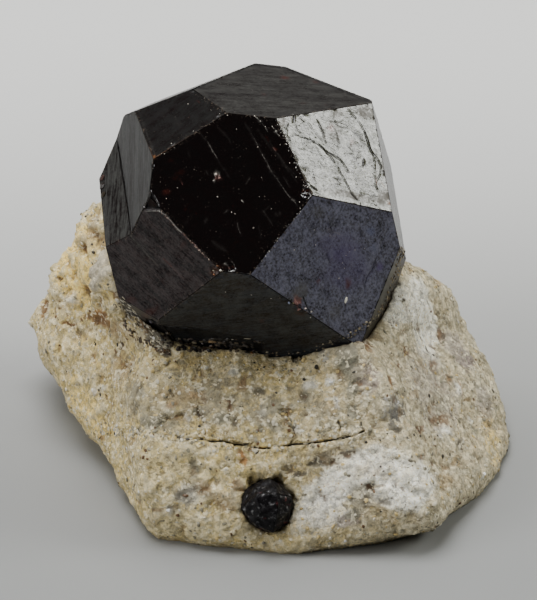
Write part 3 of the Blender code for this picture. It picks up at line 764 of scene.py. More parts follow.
# Each face of the large crystal that shows: the way it faces, the way its growth lines run, how
# strong those lines are, how deeply it is etched, how rough and how glossy it is, and the colour of
# its film as a screen colour; on the blue face that colour is a painted bluish sheen.
FACES = (
    ("great dark face", (0.06, -0.82, 0.57), (0.5, 0.45, -0.75), 0.25, 0.2, 0.10, 1.0, (14, 12, 12)),
    ("bright face", (0.55, -0.52, 0.66), (0.35, 0.5, -0.8), 0.35, 1.0, 0.22, 1.0, (70, 70, 48)),
    # The blue face's film colour is a painted bluish sheen.
    ("blue face", (0.48, -0.85, 0.19), (0.3, 0.1, -0.95), 0.3, 0.75, 0.34, 0.6, (103, 103, 120)),
    ("top face", (0.12, 0.09, 0.99), (0.97, 0.2, -0.1), 0.6, 0.3, 0.30, 1.2, (60, 59, 56)),
    ("upper left face", (-0.37, -0.2, 0.91), (0.8, 0.5, 0.35), 0.7, 0.5, 0.28, 0.3, (27, 27, 26)),
    ("left face", (-0.92, -0.26, 0.3), (0.1, -0.75, -0.65), 1.2, 0.2, 0.32, 0.06, (50, 51, 50)),
    ("left growth facet", (-0.725, -0.344, 0.597), (0.1, -0.75, -0.65), 1.0, 0.2, 0.32, 0.11, (62, 62, 60)),
    ("lower left face", (-0.49, -0.87, -0.03), (0.75, -0.35, -0.55), 1.2, 0.8, 0.30, 0.35, (52, 43, 42)),
    ("face in the rock, left", (-0.55, -0.63, -0.55), (0.75, -0.35, -0.55), 0.8, 0.3, 0.4, 0.3, (44, 40, 36)),
    ("lower face", (-0.07, -0.91, -0.41), (0.95, 0.0, 0.3), 0.9, 0.6, 0.32, 0.3, (45, 49, 54)),
    ("lower right face", (0.91, -0.32, -0.25), (0.0, 0.5, -0.85), 0.6, 0.3, 0.32, 0.05, (52, 50, 42)),
    ("right face", (0.98, 0.01, 0.22), (0.0, 0.5, -0.85), 0.6, 0.3, 0.25, 0.12, (50, 49, 46)),
)
EDGE_FINISH = (0.3, 0.9, 0.36, 0.06)
PLAIN_FACE = ("other face", None, (0.3, 0.3, 0.9), 0.7, 0.4, 0.3, 0.2, (40, 37, 34))
FINE_GRID, COARSE_GRID = 0.18, 0.45

# What marks the crystal: a screen colour and how much of the face's gloss it leaves.
SHADES = {
    "etched": ((22, 21, 22), 0.3),
    "worn": ((104, 100, 92), 0.3),
    "dull": ((74, 72, 70), 0.55),
    "dark": ((12, 11, 12), 0.3),
    "pale": ((128, 124, 118), 1.0),
    "white": ((206, 202, 192), 1.0),
    "red": ((66, 30, 24), 0.7),
    "faint red": ((52, 32, 29), 0.9),
    "pink": ((140, 96, 90), 0.8),
    "orange": ((120, 80, 50), 0.7),
    # blue and purple are painted bluish sheen, laid on the blue face.
    "blue": ((86, 92, 124), 1.0),
    "purple": ((82, 74, 104), 1.0),
    "bright": ((150, 150, 142), 1.2),
}
# Lines on the crystal: what they are, shade, strength, width in pixels, height in mm, and pixels.
STROKES = (
    ("arched etch line on the bright face", "etched", 0.88, 1.3, -0.03,
     ((293, 134), (303, 137), (311, 140), (320, 145), (326, 151), (333, 155), (340, 160), (345, 166), (349, 172))),
    ("etch line that crosses it", "etched", 0.79, 1, -0.03,
     ((319, 145), (327, 152), (332, 158), (336, 165), (340, 172), (345, 180), (348, 187), (351, 193))),
    ("its deep end", "etched", 0.88, 1.8, -0.05, ((351, 193), (357, 200))),
    ("etch line", "etched", 0.62, 0.83, -0.02, ((297, 115), (306, 121), (312, 129), (318, 136), (323, 142))),
    ("etch line", "etched", 0.53, 0.75, -0.02, ((302, 116), (308, 122), (314, 130), (320, 137))),
    ("etch line", "etched", 0.79, 1.4, -0.03, ((317, 119), (320, 126), (323, 132), (324, 138), (326, 143))),
    ("round etch line", "etched", 0.66, 1.1, -0.02,
     ((321, 118), (326, 120), (331, 121), (338, 122), (343, 120), (347, 115))),
    ("round etch line", "etched", 0.48, 1, -0.02, ((333, 118), (338, 126), (345, 128), (351, 122), (356, 117))),
    ("right etch line", "etched", 0.57, 1.2, -0.03, ((347, 108), (351, 113), (355, 117), (360, 123), (364, 131))),
    ("right etch line", "etched", 0.88, 2, -0.04, ((364, 131), (368, 141), (370, 148), (373, 155))),
    ("right etch line", "etched", 0.7, 1.2, -0.03, ((373, 155), (375, 164), (375, 174), (376, 185), (377, 191))),
    ("its branch", "etched", 0.7, 1.3, -0.03, ((372, 152), (378, 160), (381, 166), (380, 174), (377, 181))),
    ("short etch line", "etched", 0.88, 1.5, -0.04, ((364, 159), (363, 166))),
    ("etch line", "etched", 0.53, 0.98, -0.02, ((361, 149), (358, 155), (353, 164))),
    ("etch line", "etched", 0.66, 1.1, -0.02, ((347, 145), (351, 149), (354, 152))),
    ("upright etch line", "etched", 0.7, 1, -0.02, ((337, 133), (338, 142), (337, 150))),
    ("short etch line", "etched", 0.75, 0.98, -0.02, ((331, 170), (336, 174))),
    ("short etch line", "etched", 0.88, 1.4, -0.03, ((323, 185), (325, 189))),
    ("etch line", "etched", 0.44, 1.2, -0.02, ((313, 173), (315, 181))),
    ("notch from the edge", "etched", 0.88, 1.7, -0.05, ((305, 181), (311, 186), (317, 190))),
    ("notch from the edge", "etched", 0.79, 1.4, -0.04, ((319, 195), (323, 202))),
    ("etch line", "etched", 0.44, 0.9, -0.02, ((315, 145), (320, 153), (324, 161))),
    ("etch line by the edge", "etched", 0.53, 1.2, -0.02, ((288, 121), (286, 128), (287, 135), (291, 142))),
    ("black notch", "dark", 1.0, 2.0, -0.08, ((294, 114), (294, 122))),
    ("etch line", "etched", 0.53, 0.9, -0.02, ((295, 123), (297, 129), (300, 133))),
    ("tick", "etched", 0.62, 0.9, -0.02, ((309, 134), (309, 138))),
    ("tick", "etched", 0.62, 0.9, -0.02, ((316, 136), (314, 139))),
    ("long faint line", "worn", 0.5, 2.2, 0.0, ((372, 118), (379, 126), (382, 141), (384, 158))),
    ("pale strip", "bright", 0.5, 3.0, 0.0, ((369, 126), (372, 136), (376, 146), (380, 153))),
    ("brown line", "orange", 0.6, 1.4, 0.0, ((376, 178), (377, 185))),
    ("brown line", "orange", 0.7, 1.4, 0.0, ((381, 181), (385, 188))),
    ("brown edge", "orange", 0.6, 1.8, 0.0, ((388, 172), (390, 186), (392, 198))),
    ("pale strip along the edge", "worn", 0.6, 2.6, 0.0,
     ((277, 120), (283, 131), (288, 141), (293, 152), (298, 163), (303, 174), (307, 182))),
    ("scratch on the dark face", "pale", 0.30, 1.1, 0.0, ((198, 130), (203, 137), (208, 142))),
    ("scratch on the dark face", "pale", 0.62, 1.3, -0.01, ((208, 142), (212, 150), (217, 158))),
    ("scratch on the dark face", "pale", 0.25, 1.0, 0.0, ((217, 158), (221, 165), (226, 171), (231, 180))),
    ("scratch", "pale", 0.22, 1.6, 0.0, ((217, 127), (224, 133), (229, 139), (231, 144))),
    ("growth step", "pale", 0.30, 1.4, 0.0, ((254, 138), (258, 146), (262, 154), (267, 162))),
    ("growth step", "pale", 0.42, 1.4, 0.0, ((262, 154), (267, 162), (270, 170), (277, 179), (283, 188))),
    ("growth step", "pale", 0.6, 1.3, 0.0, ((283, 188), (289, 196), (294, 201), (298, 207))),
    ("growth step", "pale", 0.22, 1.8, 0.0, ((244, 122), (251, 133), (256, 143), (261, 146))),
    ("growth step", "pale", 0.28, 1.2, 0.0, ((278, 153), (286, 165), (296, 176))),
    ("growth step", "pale", 0.25, 1.1, 0.0, ((269, 141), (277, 153), (287, 168), (297, 182))),
    ("growth step", "pale", 0.2, 1.0, 0.0, ((262, 134), (270, 146), (280, 160), (290, 174))),
    ("growth step", "pale", 0.32, 1.1, 0.0, ((283, 176), (290, 188))),
    ("growth step", "pale", 0.2, 1.0, 0.0, ((256, 128), (264, 139), (272, 152))),
    ("scratch", "pale", 0.35, 1.5, 0.0, ((250, 177), (246, 184))),
    ("scratch", "pale", 0.32, 1.2, 0.0, ((262, 209), (267, 217), (273, 226))),
    ("scratch", "pale", 0.45, 1.4, 0.0, ((237, 222), (238, 228), (242, 237))),
    ("smear", "pale", 0.2, 4.0, 0.0, ((212, 241), (218, 246), (226, 251))),
    ("scratch", "pale", 0.2, 1.2, 0.0, ((258, 225), (262, 239))),
    ("scratch", "pale", 0.32, 1.4, 0.0, ((206, 170), (208, 175))),
    ("scratch", "pink", 0.6, 1.4, 0.0, ((180, 178), (183, 185))),
    ("scratch", "pale", 0.22, 1.2, 0.0, ((187, 151), (190, 157))),
    ("scratch", "pale", 0.4, 1.6, 0.0, ((229, 209), (224, 213))),
    ("scratch", "pale", 0.25, 1.2, 0.0, ((270, 205), (262, 213))),
    ("white dash", "white", 1.0, 1.2, 0.0, ((241, 200), (245, 204))),
    ("curved glint", "white", 0.45, 0.8, 0.0, ((224, 263), (228, 266), (231, 272))),
    ("curved glint", "white", 0.4, 0.8, 0.0, ((230, 260), (234, 264), (235, 269), (234, 273))),
    ("bright row below the top edge", "white", 0.6, 0.9, 0.0, ((253, 115), (256, 117), (260, 121))),
    ("bright row below the top edge", "white", 0.5, 0.8, 0.0, ((260, 121), (265, 127), (268, 132))),
    ("bright row below the top edge", "white", 0.6, 0.9, 0.0, ((271, 125), (275, 130), (279, 136))),
    ("bright edge below the dark face", "white", 0.62, 1.2, 0.0,
     ((159, 211), (165, 215), (170, 220), (176, 227), (182, 233))),
    ("bright edge below the dark face", "pink", 0.6, 1.2, 0.0,
     ((182, 233), (188, 239), (194, 244), (198, 249), (206, 258))),
    ("line of the blue face", "dark", 0.55, 1.3, -0.02, ((301, 213), (303, 222), (302, 238), (300, 251), (302, 266))),
    ("line of the blue face", "dark", 0.5, 1.3, -0.02, ((308, 217), (311, 227), (313, 236), (315, 249))),
    ("line of the blue face", "dark", 0.75, 1.5, -0.03, ((360, 203), (360, 217), (360, 232), (363, 238))),
    ("crack of the blue face", "dark", 0.55, 1.8, -0.03,
     ((389, 226), (385, 236), (381, 245), (381, 251), (376, 257), (374, 264), (372, 270), (367, 277), (365, 284),
      (365, 292), (361, 298))),
    ("line of the blue face", "dark", 0.75, 1.6, -0.03, ((326, 253), (328, 259), (330, 264))),
    ("line of the blue face", "dark", 0.5, 1.5, -0.02,
     ((325, 280), (324, 289), (323, 300), (325, 313), (330, 324))),
    ("line of the blue face", "dark", 0.5, 1.3, -0.02, ((346, 222), (347, 233))),
    ("line of the blue face", "dark", 0.4, 1.2, -0.02, ((350, 204), (351, 220), (352, 234))),
    ("line of the blue face", "dark", 0.35, 1.2, -0.02, ((334, 206), (336, 222), (333, 235))),
    ("line of the blue face", "dark", 0.35, 1.2, -0.02, ((341, 255), (346, 266))),
    ("curved scratch", "pale", 0.5, 1.0, 0.0, ((327, 225), (329, 233), (332, 237), (336, 236))),
    ("curved scratch", "pale", 0.5, 1.1, 0.0, ((333, 232), (337, 233), (341, 235))),
    ("curved scratch", "pale", 0.4, 1.0, 0.0, ((308, 246), (306, 251), (310, 255), (314, 253))),
    ("curved scratch", "pale", 0.5, 1.2, 0.0, ((293, 248), (296, 251), (297, 254))),
    ("step of the left face", "dark", 0.95, 2.0, -0.05, ((116, 138), (119, 152), (123, 180), (127, 208), (131, 236))),
    ("pale edge of the left face", "pale", 0.35, 1.2, 0.0, ((138, 109), (144, 126), (152, 147), (155, 155))),
    ("pale edge of the left face", "pale", 0.35, 1.3, 0.0, ((150, 190), (145, 203), (138, 217), (131, 232))),
    ("growth line of the lower left face", "worn", 0.42, 3.6, 0.0, ((129, 234), (136, 242), (146, 253), (158, 266))),
    ("dark edge beside the great dark face", "dark", 0.8, 2.4, 0.0, ((155, 157), (153, 170), (151, 182), (150, 191))),
    ("dark edge below it", "dark", 0.7, 2.0, 0.0, ((150, 192), (155, 198), (159, 204), (162, 210))),
    ("dark right edge of the bright face", "dark", 0.85, 1.8, 0.0,
     ((373, 103), (378, 126), (383.5, 152), (388, 178), (391.5, 204))),
    ("dark outline of the top", "dark", 0.7, 2.2, 0.0,
     ((127, 115), (160, 102), (194, 89), (225, 76.5), (255, 64.5), (286, 68.5), (330, 86), (371, 103))),
    ("growth line of the lower left face", "worn", 0.4, 1.3, 0.0, ((141, 244), (150, 250), (160, 257), (164, 260))),
    ("growth line of the lower left face", "red", 0.75, 2.2, 0.0, ((163, 258), (168, 263), (172, 267))),
    ("growth line of the lower left face", "pink", 0.35, 1.2, 0.0, ((172, 267), (178, 273), (184, 279))),
    ("edge between the lower faces", "pale", 0.4, 1.5, 0.0, ((165, 313), (176, 307), (187, 300), (198, 291))),
    ("top of the rubble", "dark", 0.9, 2.0, -0.02,
     ((145, 318), (152, 321), (160, 326), (170, 328), (185, 327), (200, 329))),
    ("crack above the rubble", "pale", 0.35, 1.3, 0.0, ((246, 338), (252, 338), (258, 340), (262, 343))),
    ("dark edge of the pink chip", "dark", 1.0, 1.8, -0.04, ((292, 299), (291, 307))),
    ("dark edge of the pink chip", "dark", 1.0, 1.8, -0.04, ((303, 296), (306, 304), (312, 316))),
    ("bright edge of the pit", "pale", 0.7, 1.3, 0.0, ((143, 211), (151, 211), (160, 211))),
    ("bright edge of the pit", "dull", 0.2, 1.1, 0.0, ((150, 192), (154, 197), (159, 203), (161, 209))),
)
# Patches on the crystal: what they are, shade, strength, pixel, reach, turn and height.
SPOTS = (
    ("grey top corner", "worn", 0.8, (366, 112), (13, 9), -10, 0.0),
    ("pinkish patch", "worn", 0.7, (338, 114), (9, 5), 0, 0.0),
    ("grey band at the foot", "worn", 0.7, (348, 195), (36, 5), -11, 0.0),
    ("grey foot, right", "worn", 0.8, (384, 198), (9, 10), 0, 0.0),
    ("grey strip, right", "worn", 0.6, (385, 165), (3, 30), 8, 0.0),
    ("grey patch by the edge", "worn", 0.8, (283, 122), (5, 6), 0, 0.0),
    ("grey patch", "worn", 0.6, (334, 134), (12, 14), 30, 0.0),
    ("grey patch", "worn", 0.5, (354, 146), (7, 7), 0, 0.0),
    ("brown patch", "pink", 0.3, (331, 128), (4, 4), 0, 0.0),
    ("pink spot", "pink", 0.45, (351, 141), (3, 3), 0, 0.0),
    ("orange spot", "orange", 0.85, (391, 203), (3, 3), 0, 0.0),
    ("white patch", "white", 0.6, (292, 117), (2, 3), 0, 0.0),
    ("dust patch", "white", 0.75, (216, 174), (2.6, 2.0), 20, 0.01),
    ("dust patch", "pink", 0.8, (219, 178), (3.2, 2.0), -25, 0.01),
    ("dust patch", "white", 0.6, (214, 181), (1.6, 1.4), 0, 0.01),
    ("red spot", "red", 0.4, (180, 172), (6, 3), 18, 0.0),
    ("red spot", "red", 0.4, (175, 178), (4, 3), 0, 0.0),
    ("red spot", "red", 0.55, (166, 192), (5, 3.6), 30, 0.0),
    ("red spot", "red", 0.7, (275, 149), (2.2, 3), 20, 0.0),
    ("red spot", "red", 0.5, (170, 161), (3, 2), -30, 0.0),
    ("orange corner", "orange", 0.6, (155, 157), (1.8, 2.2), 0, 0.0),
    ("pale blotch", "pale", 0.12, (186, 222), (3, 2), -20, 0.0),
    ("pale blotch", "pale", 0.3, (206, 221), (3, 1.6), 20, 0.0),
    ("pale blotch", "pale", 0.12, (227, 222), (2, 1.6), 0, 0.0),
    ("pale blotch", "pale", 0.3, (278, 214), (4, 1.6), 0, 0.0),
    ("pale blotch", "pale", 0.3, (269, 167), (1.6, 3), -30, 0.0),
    # The blue and purple patches are painted sheen on the blue face.
    ("blue patch", "blue", 0.5, (371, 231), (6, 7), 0, 0.0),
    ("blue patch", "blue", 0.4, (374, 249), (5, 7), 0, 0.0),
    ("purple patch", "purple", 0.7, (380, 267), (4, 6), 0, 0.0),
    ("purple patch", "purple", 0.5, (348, 272), (34, 24), 10, 0.0),
    ("purple patch", "purple", 0.5, (338, 244), (30, 18), 0, 0.0),
    ("grey left border", "dull", 0.6, (300, 292), (10, 16), -35, 0.0),
    ("grey patch", "dull", 0.5, (318, 212), (9, 9), 0, 0.0),
    ("grey patch", "dull", 0.5, (335, 312), (9, 12), -20, 0.0),
    ("red spot", "red", 0.75, (348, 284), (2.6, 6), 0, 0.0),
    ("red spot", "red", 0.6, (318, 281), (2.2, 3.6), 0, 0.0),
    ("faint red", "faint red", 0.7, (131, 300), (8, 5), 0, 0.0),
    ("faint red", "faint red", 0.8, (150, 312), (12, 5), 30, 0.0),
    ("faint red", "faint red", 0.5, (118, 242), (4, 5), 0, 0.0),
    ("faint red", "faint red", 0.6, (183, 245), (6, 4), 40, 0.0),
    ("faint red", "faint red", 0.5, (170, 274), (5, 4), 0, 0.0),
    ("faint red", "red", 0.5, (262, 321), (4, 3.4), 0, 0.0),
    ("faint red", "faint red", 0.5, (225, 296), (7, 2), -8, 0.0),
    ("faint red", "red", 0.4, (197, 290), (3, 3), 0, 0.0),
    ("faint red", "faint red", 0.6, (300, 314), (8, 3), -20, 0.0),
    ("red spot of the top face", "red", 0.6, (285, 78), (6, 2.4), -10, 0.0),
    ("red spot of the top face", "red", 0.45, (315, 82), (5, 1.6), -12, 0.0),
    ("red spot of the top face", "red", 0.4, (263, 94), (4, 2), -20, 0.0),
    ("red spot of the top face", "red", 0.4, (303, 103), (4, 1.6), 0, 0.0),
    ("red spot of the top face", "faint red", 0.6, (326, 105), (4, 1.4), 12, 0.0),
    ("dark streak of the top face", "dark", 0.3, (270, 86), (26, 4), -22, 0.0),
    ("dark corner of the top face", "dark", 0.3, (200, 86), (16, 5), 20, 0.0),
    ("faint red line", "faint red", 0.6, (199, 102), (5, 1), -10, 0.0),
    ("brown floor of the pit", "orange", 0.3, (152, 204), (5, 5), 0, 0.0),
    ("pink chip", "pink", 0.85, (298, 302), (4, 6), 15, 0.0),
    ("brown chip at the lower corner", "orange", 0.4, (213, 272), (4, 4.6), 30, 0.0),
    ("brown chip at the lower corner", "orange", 0.3, (218, 268), (4, 4), 0, 0.0),
)
# Patches with a drawn outline: what they are, shade, strength, height and outline in pixels.
SHAPES = (
    ("pit at the corner of the dark face", "dark", 0.85, -0.14, ((150.5, 191), (144, 209), (160, 210.5), (156, 199))),
    # Partly dark rubble, partly painted shade: the foot of the lower face is painted dark where it lies in shadow.
    ("dark rubble and painted shade at the foot of the lower face", "dark", 0.6, -0.10,
     ((146, 319), (160, 327), (185, 329), (205, 330), (250, 338), (262, 344), (262, 356), (165, 360), (150, 335))),
)
# Rough scoops: pixel, radius and depth in mm.
SCOOPS = (
    ((215, 271), 0.42, 0.14),
    ((299, 303), 0.42, 0.12),
    ((230, 268), 0.32, 0.06),
    ((306, 193), 0.38, 0.10),
    ((155, 322), 0.30, 0.06),
)


def face_of(normal):
    """The line of FACES that a face answers to."""
    for face in FACES:
        if normal.dot(Vector(face[1]).normalized()) > 0.985:
            return face
    return PLAIN_FACE


def face_axes(normal, along):
    """Two directions in a face: along its growth lines, and across them."""
    along = Vector(along)
    along = (along - normal * along.dot(normal)).normalized()
    return along, normal.cross(along)


def cut_grid(bm, faces, normal, along, step):
    """Cut one flat face into small squares."""
    geometry = list({v for f in faces for v in f.verts} | {e for f in faces for e in f.edges}) + faces
    for direction in face_axes(normal, along):
        heights = [v.co.dot(direction) for v in geometry if isinstance(v, bmesh.types.BMVert)]
        count = int((max(heights) - min(heights)) / step)
        for k in range(1, count + 1):
            place = min(heights) + (k - 0.5) * (max(heights) - min(heights)) / count
            cut = bmesh.ops.bisect_plane(
                bm, geom=geometry, dist=1e-5, plane_co=direction * place, plane_no=direction
            )
            geometry = cut["geom"]


def crystal_mesh(name, planes, bevel, fine, coarse):
    """A crystal with softened edges, its faces cut into small squares and labelled."""
    bm = node_bmesh(name)
    bmesh.ops.dissolve_limit(bm, angle_limit=math.radians(0.6), verts=bm.verts, edges=bm.edges)
    bmesh.ops.bevel(
        bm, geom=bm.edges[:], offset=bevel, segments=2, profile=0.6, affect="EDGES", clamp_overlap=True
    )
    label = bm.faces.layers.int.new("face")
    wide = sorted(bm.faces, key=lambda f: -f.calc_area())[:len(planes[0])]
    known = []
    for face in wide:
        if face.calc_area() > 6.0 * bevel * bevel:
            known.append((face, face.normal.copy()))
            face[label] = len(known)
    for k, (face, normal) in enumerate(known):
        kind = face_of(normal)
        step = fine if normal.dot(CAMERA_BACK) > -0.05 else coarse
        cut_grid(bm, [face], normal, kind[2], step)
    mesh = bpy.data.meshes.new(name)
    bm.to_mesh(mesh)
    bm.free()
    return mesh, [normal for _, normal in known]


def seen_at(points):
    """The pixel of the photograph at which each point shows."""
    away = points - np.array(CAMERA_PLACE)
    scale = PIXELS_PER_MM * CAMERA_DISTANCE / -(away @ np.array(CAMERA_BACK))
    across = PHOTO_WIDTH / 2 + away @ np.array(CAMERA_RIGHT) * scale
    down = PHOTO_HEIGHT / 2 - away @ np.array(CAMERA_UP) * scale
    return np.column_stack([across, down])


def inside_shape(pixels, outline):
    """How far each pixel lies inside an outline, in pixels; negative outside."""
    corners = np.array(outline, dtype=float)
    away, _ = distance_to_line(pixels, [*corners, corners[0]])
    inside = np.zeros(len(pixels), dtype=bool)
    for a, b in zip(corners, np.roll(corners, -1, axis=0)):
        crosses = (a[1] > pixels[:, 1]) != (b[1] > pixels[:, 1])
        at = a[0] + (pixels[:, 1] - a[1]) * (b[0] - a[0]) / ((b[1] - a[1]) or 1e-9)
        inside ^= crosses & (pixels[:, 0] < at)
    return np.where(inside, away, -away)


def strokes_near(pixels):
    """Each pixel's distance from the nearest stroke's border."""
    near = np.full(len(pixels), 99.0)
    for _, _, _, width, _, line in STROKES:
        near = np.minimum(near, distance_to_line(pixels, line)[0] - 0.5 * width)
    for _, _, _, _, outline in SHAPES:
        near = np.minimum(near, np.abs(inside_shape(pixels, outline)))
    return near


def crystal_marks(points, shows):
    """Colour, cover, gloss and height of the crystal's marks at each point."""
    wobble = np.column_stack([wave(points, 0.7, 1.3), wave(points, 0.7, 5.3)])
    pixels = seen_at(points) + 0.5 * wobble
    ragged = seen_at(points) + 1.6 * np.column_stack([wave(points, 0.3, 2.3), wave(points, 0.3, 7.3)])
    tone, cover = np.zeros((len(points), 3)), np.zeros(len(points))
    gloss, height = np.ones(len(points)), np.zeros(len(points))
    broken = smooth(-0.75, -0.1, wave(points, 0.35, 9.7))

    def lay(shade, strength, weight, rise):
        nonlocal tone, cover, gloss, height
        weight = weight * shows
        height = height + rise * weight
        weight = strength * weight
        colour, left = SHADES[shade]
        tone = tone * (1.0 - weight)[:, None] + weight[:, None] * np.array(srgb(*colour)[:3])
        cover = cover * (1.0 - weight) + weight
        gloss = gloss * (1.0 - weight * (1.0 - left))

    for _, shade, strength, pixel, reach, turn, rise in SPOTS:
        angle = math.radians(turn)
        away = ragged - np.array(pixel)
        across = away[:, 0] * math.cos(angle) - away[:, 1] * math.sin(angle)
        along = away[:, 0] * math.sin(angle) + away[:, 1] * math.cos(angle)
        distance = np.hypot(across / reach[0], along / reach[1])
        lay(shade, strength, 1.0 - smooth(0.4, 1.35, distance), rise)
    for _, shade, strength, rise, outline in SHAPES:
        lay(shade, strength, smooth(-0.6, 0.8, inside_shape(pixels, outline)), rise)
    for _, shade, strength, width, rise, line in STROKES:
        away, share = distance_to_line(pixels, line)
        taper = 0.45 + 0.55 * np.sqrt(np.clip(np.minimum(share, 1.0 - share) * 5.0, 0.0, 1.0))
        weight = np.exp(-((away / (0.42 * width * taper)) ** 2)) * (0.2 + 0.8 * broken)
        lay(shade, strength, weight, rise)
    return np.column_stack([tone / np.maximum(cover, 1e-4)[:, None], cover]), gloss, height


def garnet_mesh():
    mesh, normals = crystal_mesh("garnet", GARNET_PLANES, BEVEL, FINE_GRID, COARSE_GRID)
    hits = [on_solid(GARNET_TREE, pixel) for pixel, _, _ in SCOOPS]
    points, facing = get_points(mesh), get_normals(mesh)
    shows = facing @ np.array(CAMERA_BACK) > 0.02
    near_scoop = np.min([np.linalg.norm(points - np.array(h), axis=1) - r for h, (_, r, _) in zip(hits, SCOOPS)], axis=0)
    refine(mesh, ((strokes_near(seen_at(points)) < 2.0) & shows) | (near_scoop < 0.1), 3)
    points, facing = get_points(mesh), get_normals(mesh)
    shows = smooth(0.1, 0.18, facing @ np.array(CAMERA_BACK))
    marks, gloss, height = crystal_marks(points, shows)
    depth = np.zeros(len(points))
    rough = np.zeros(len(points))
    for hit, (_, radius, deep) in zip(hits, SCOOPS):
        away = np.linalg.norm(warp(points, 0.3, 0.15, 2.2) - np.array(hit), axis=1) / radius
        inside = 1.0 - smooth(0.55, 1.0, away)
        shape = 1.0 + 0.6 * broken_facets(points, 0.2, 4.4) if inside.any() else 1.0
        depth = np.maximum(depth, deep * inside * np.clip(shape, 0.0, 2.0))
        rough = np.maximum(rough, inside)
    edge = edge_closeness(points)
    nibble = smooth(0.18, 0.45, wave(points, 0.35, 1.7)) * edge * 0.06
    points = points + facing * (height - depth - nibble)[:, None]
    set_points(mesh, points)
    label_faces(mesh, normals)
    add_attribute(mesh, "mark", marks, "FLOAT_COLOR")
    add_attribute(mesh, "shine", gloss, "FLOAT")
    add_attribute(mesh, "broken", rough, "FLOAT")
    add_attribute(mesh, "edge", edge, "FLOAT")
    mesh.shade_smooth()
    mesh.set_sharp_from_angle(angle=math.radians(25))
    return mesh


def edge_closeness(points):
    """1 on the large crystal's edges, 0 a quarter of a millimetre away from them."""
    reach = np.sort(reach_of(points, GARNET_PLANES), axis=1)
    return 1.0 - smooth(0.0, 0.16, reach[:, -1] - reach[:, -2])


def label_faces(mesh, normals):
    """Store each face's own flat coordinates and finish with its corners."""
    corners = len(mesh.loops)
    vertex = np.empty(corners, dtype=np.int64)
    mesh.loops.foreach_get("vertex_index", vertex)
    points = get_points(mesh)[vertex]
    flat = points.copy()
    finish = np.tile(np.array(PLAIN_FACE[3:7]), (corners, 1))
    haze_and_sheen = np.tile(np.array(srgb(*PLAIN_FACE[7])), (corners, 1))
    label = np.empty(len(mesh.polygons), dtype=np.int32)
    mesh.attributes["face"].data.foreach_get("value", label)
    totals = np.empty(len(mesh.polygons), dtype=np.int64)
    mesh.polygons.foreach_get("loop_total", totals)
    of_corner = np.repeat(label, totals)
    finish[of_corner == 0] = EDGE_FINISH
    for k, normal in enumerate(normals, start=1):
        kind = face_of(normal)
        along, across = face_axes(normal, kind[2])
        mine = of_corner == k
        flat[mine, 0] = points[mine] @ np.array(along)
        flat[mine, 1] = points[mine] @ np.array(across)
        flat[mine, 2] = 13.7 * k
        finish[mine] = kind[3:7]
        haze_and_sheen[mine] = srgb(*kind[7])
    add_attribute(mesh, "flat", flat, "FLOAT_VECTOR", "CORNER")
    for k, name in enumerate(("lines", "etch", "rough", "gloss")):
        add_attribute(mesh, name, finish[:, k], "FLOAT", "CORNER")
    add_attribute(mesh, "haze_and_sheen", haze_and_sheen, "FLOAT_COLOR", "CORNER")


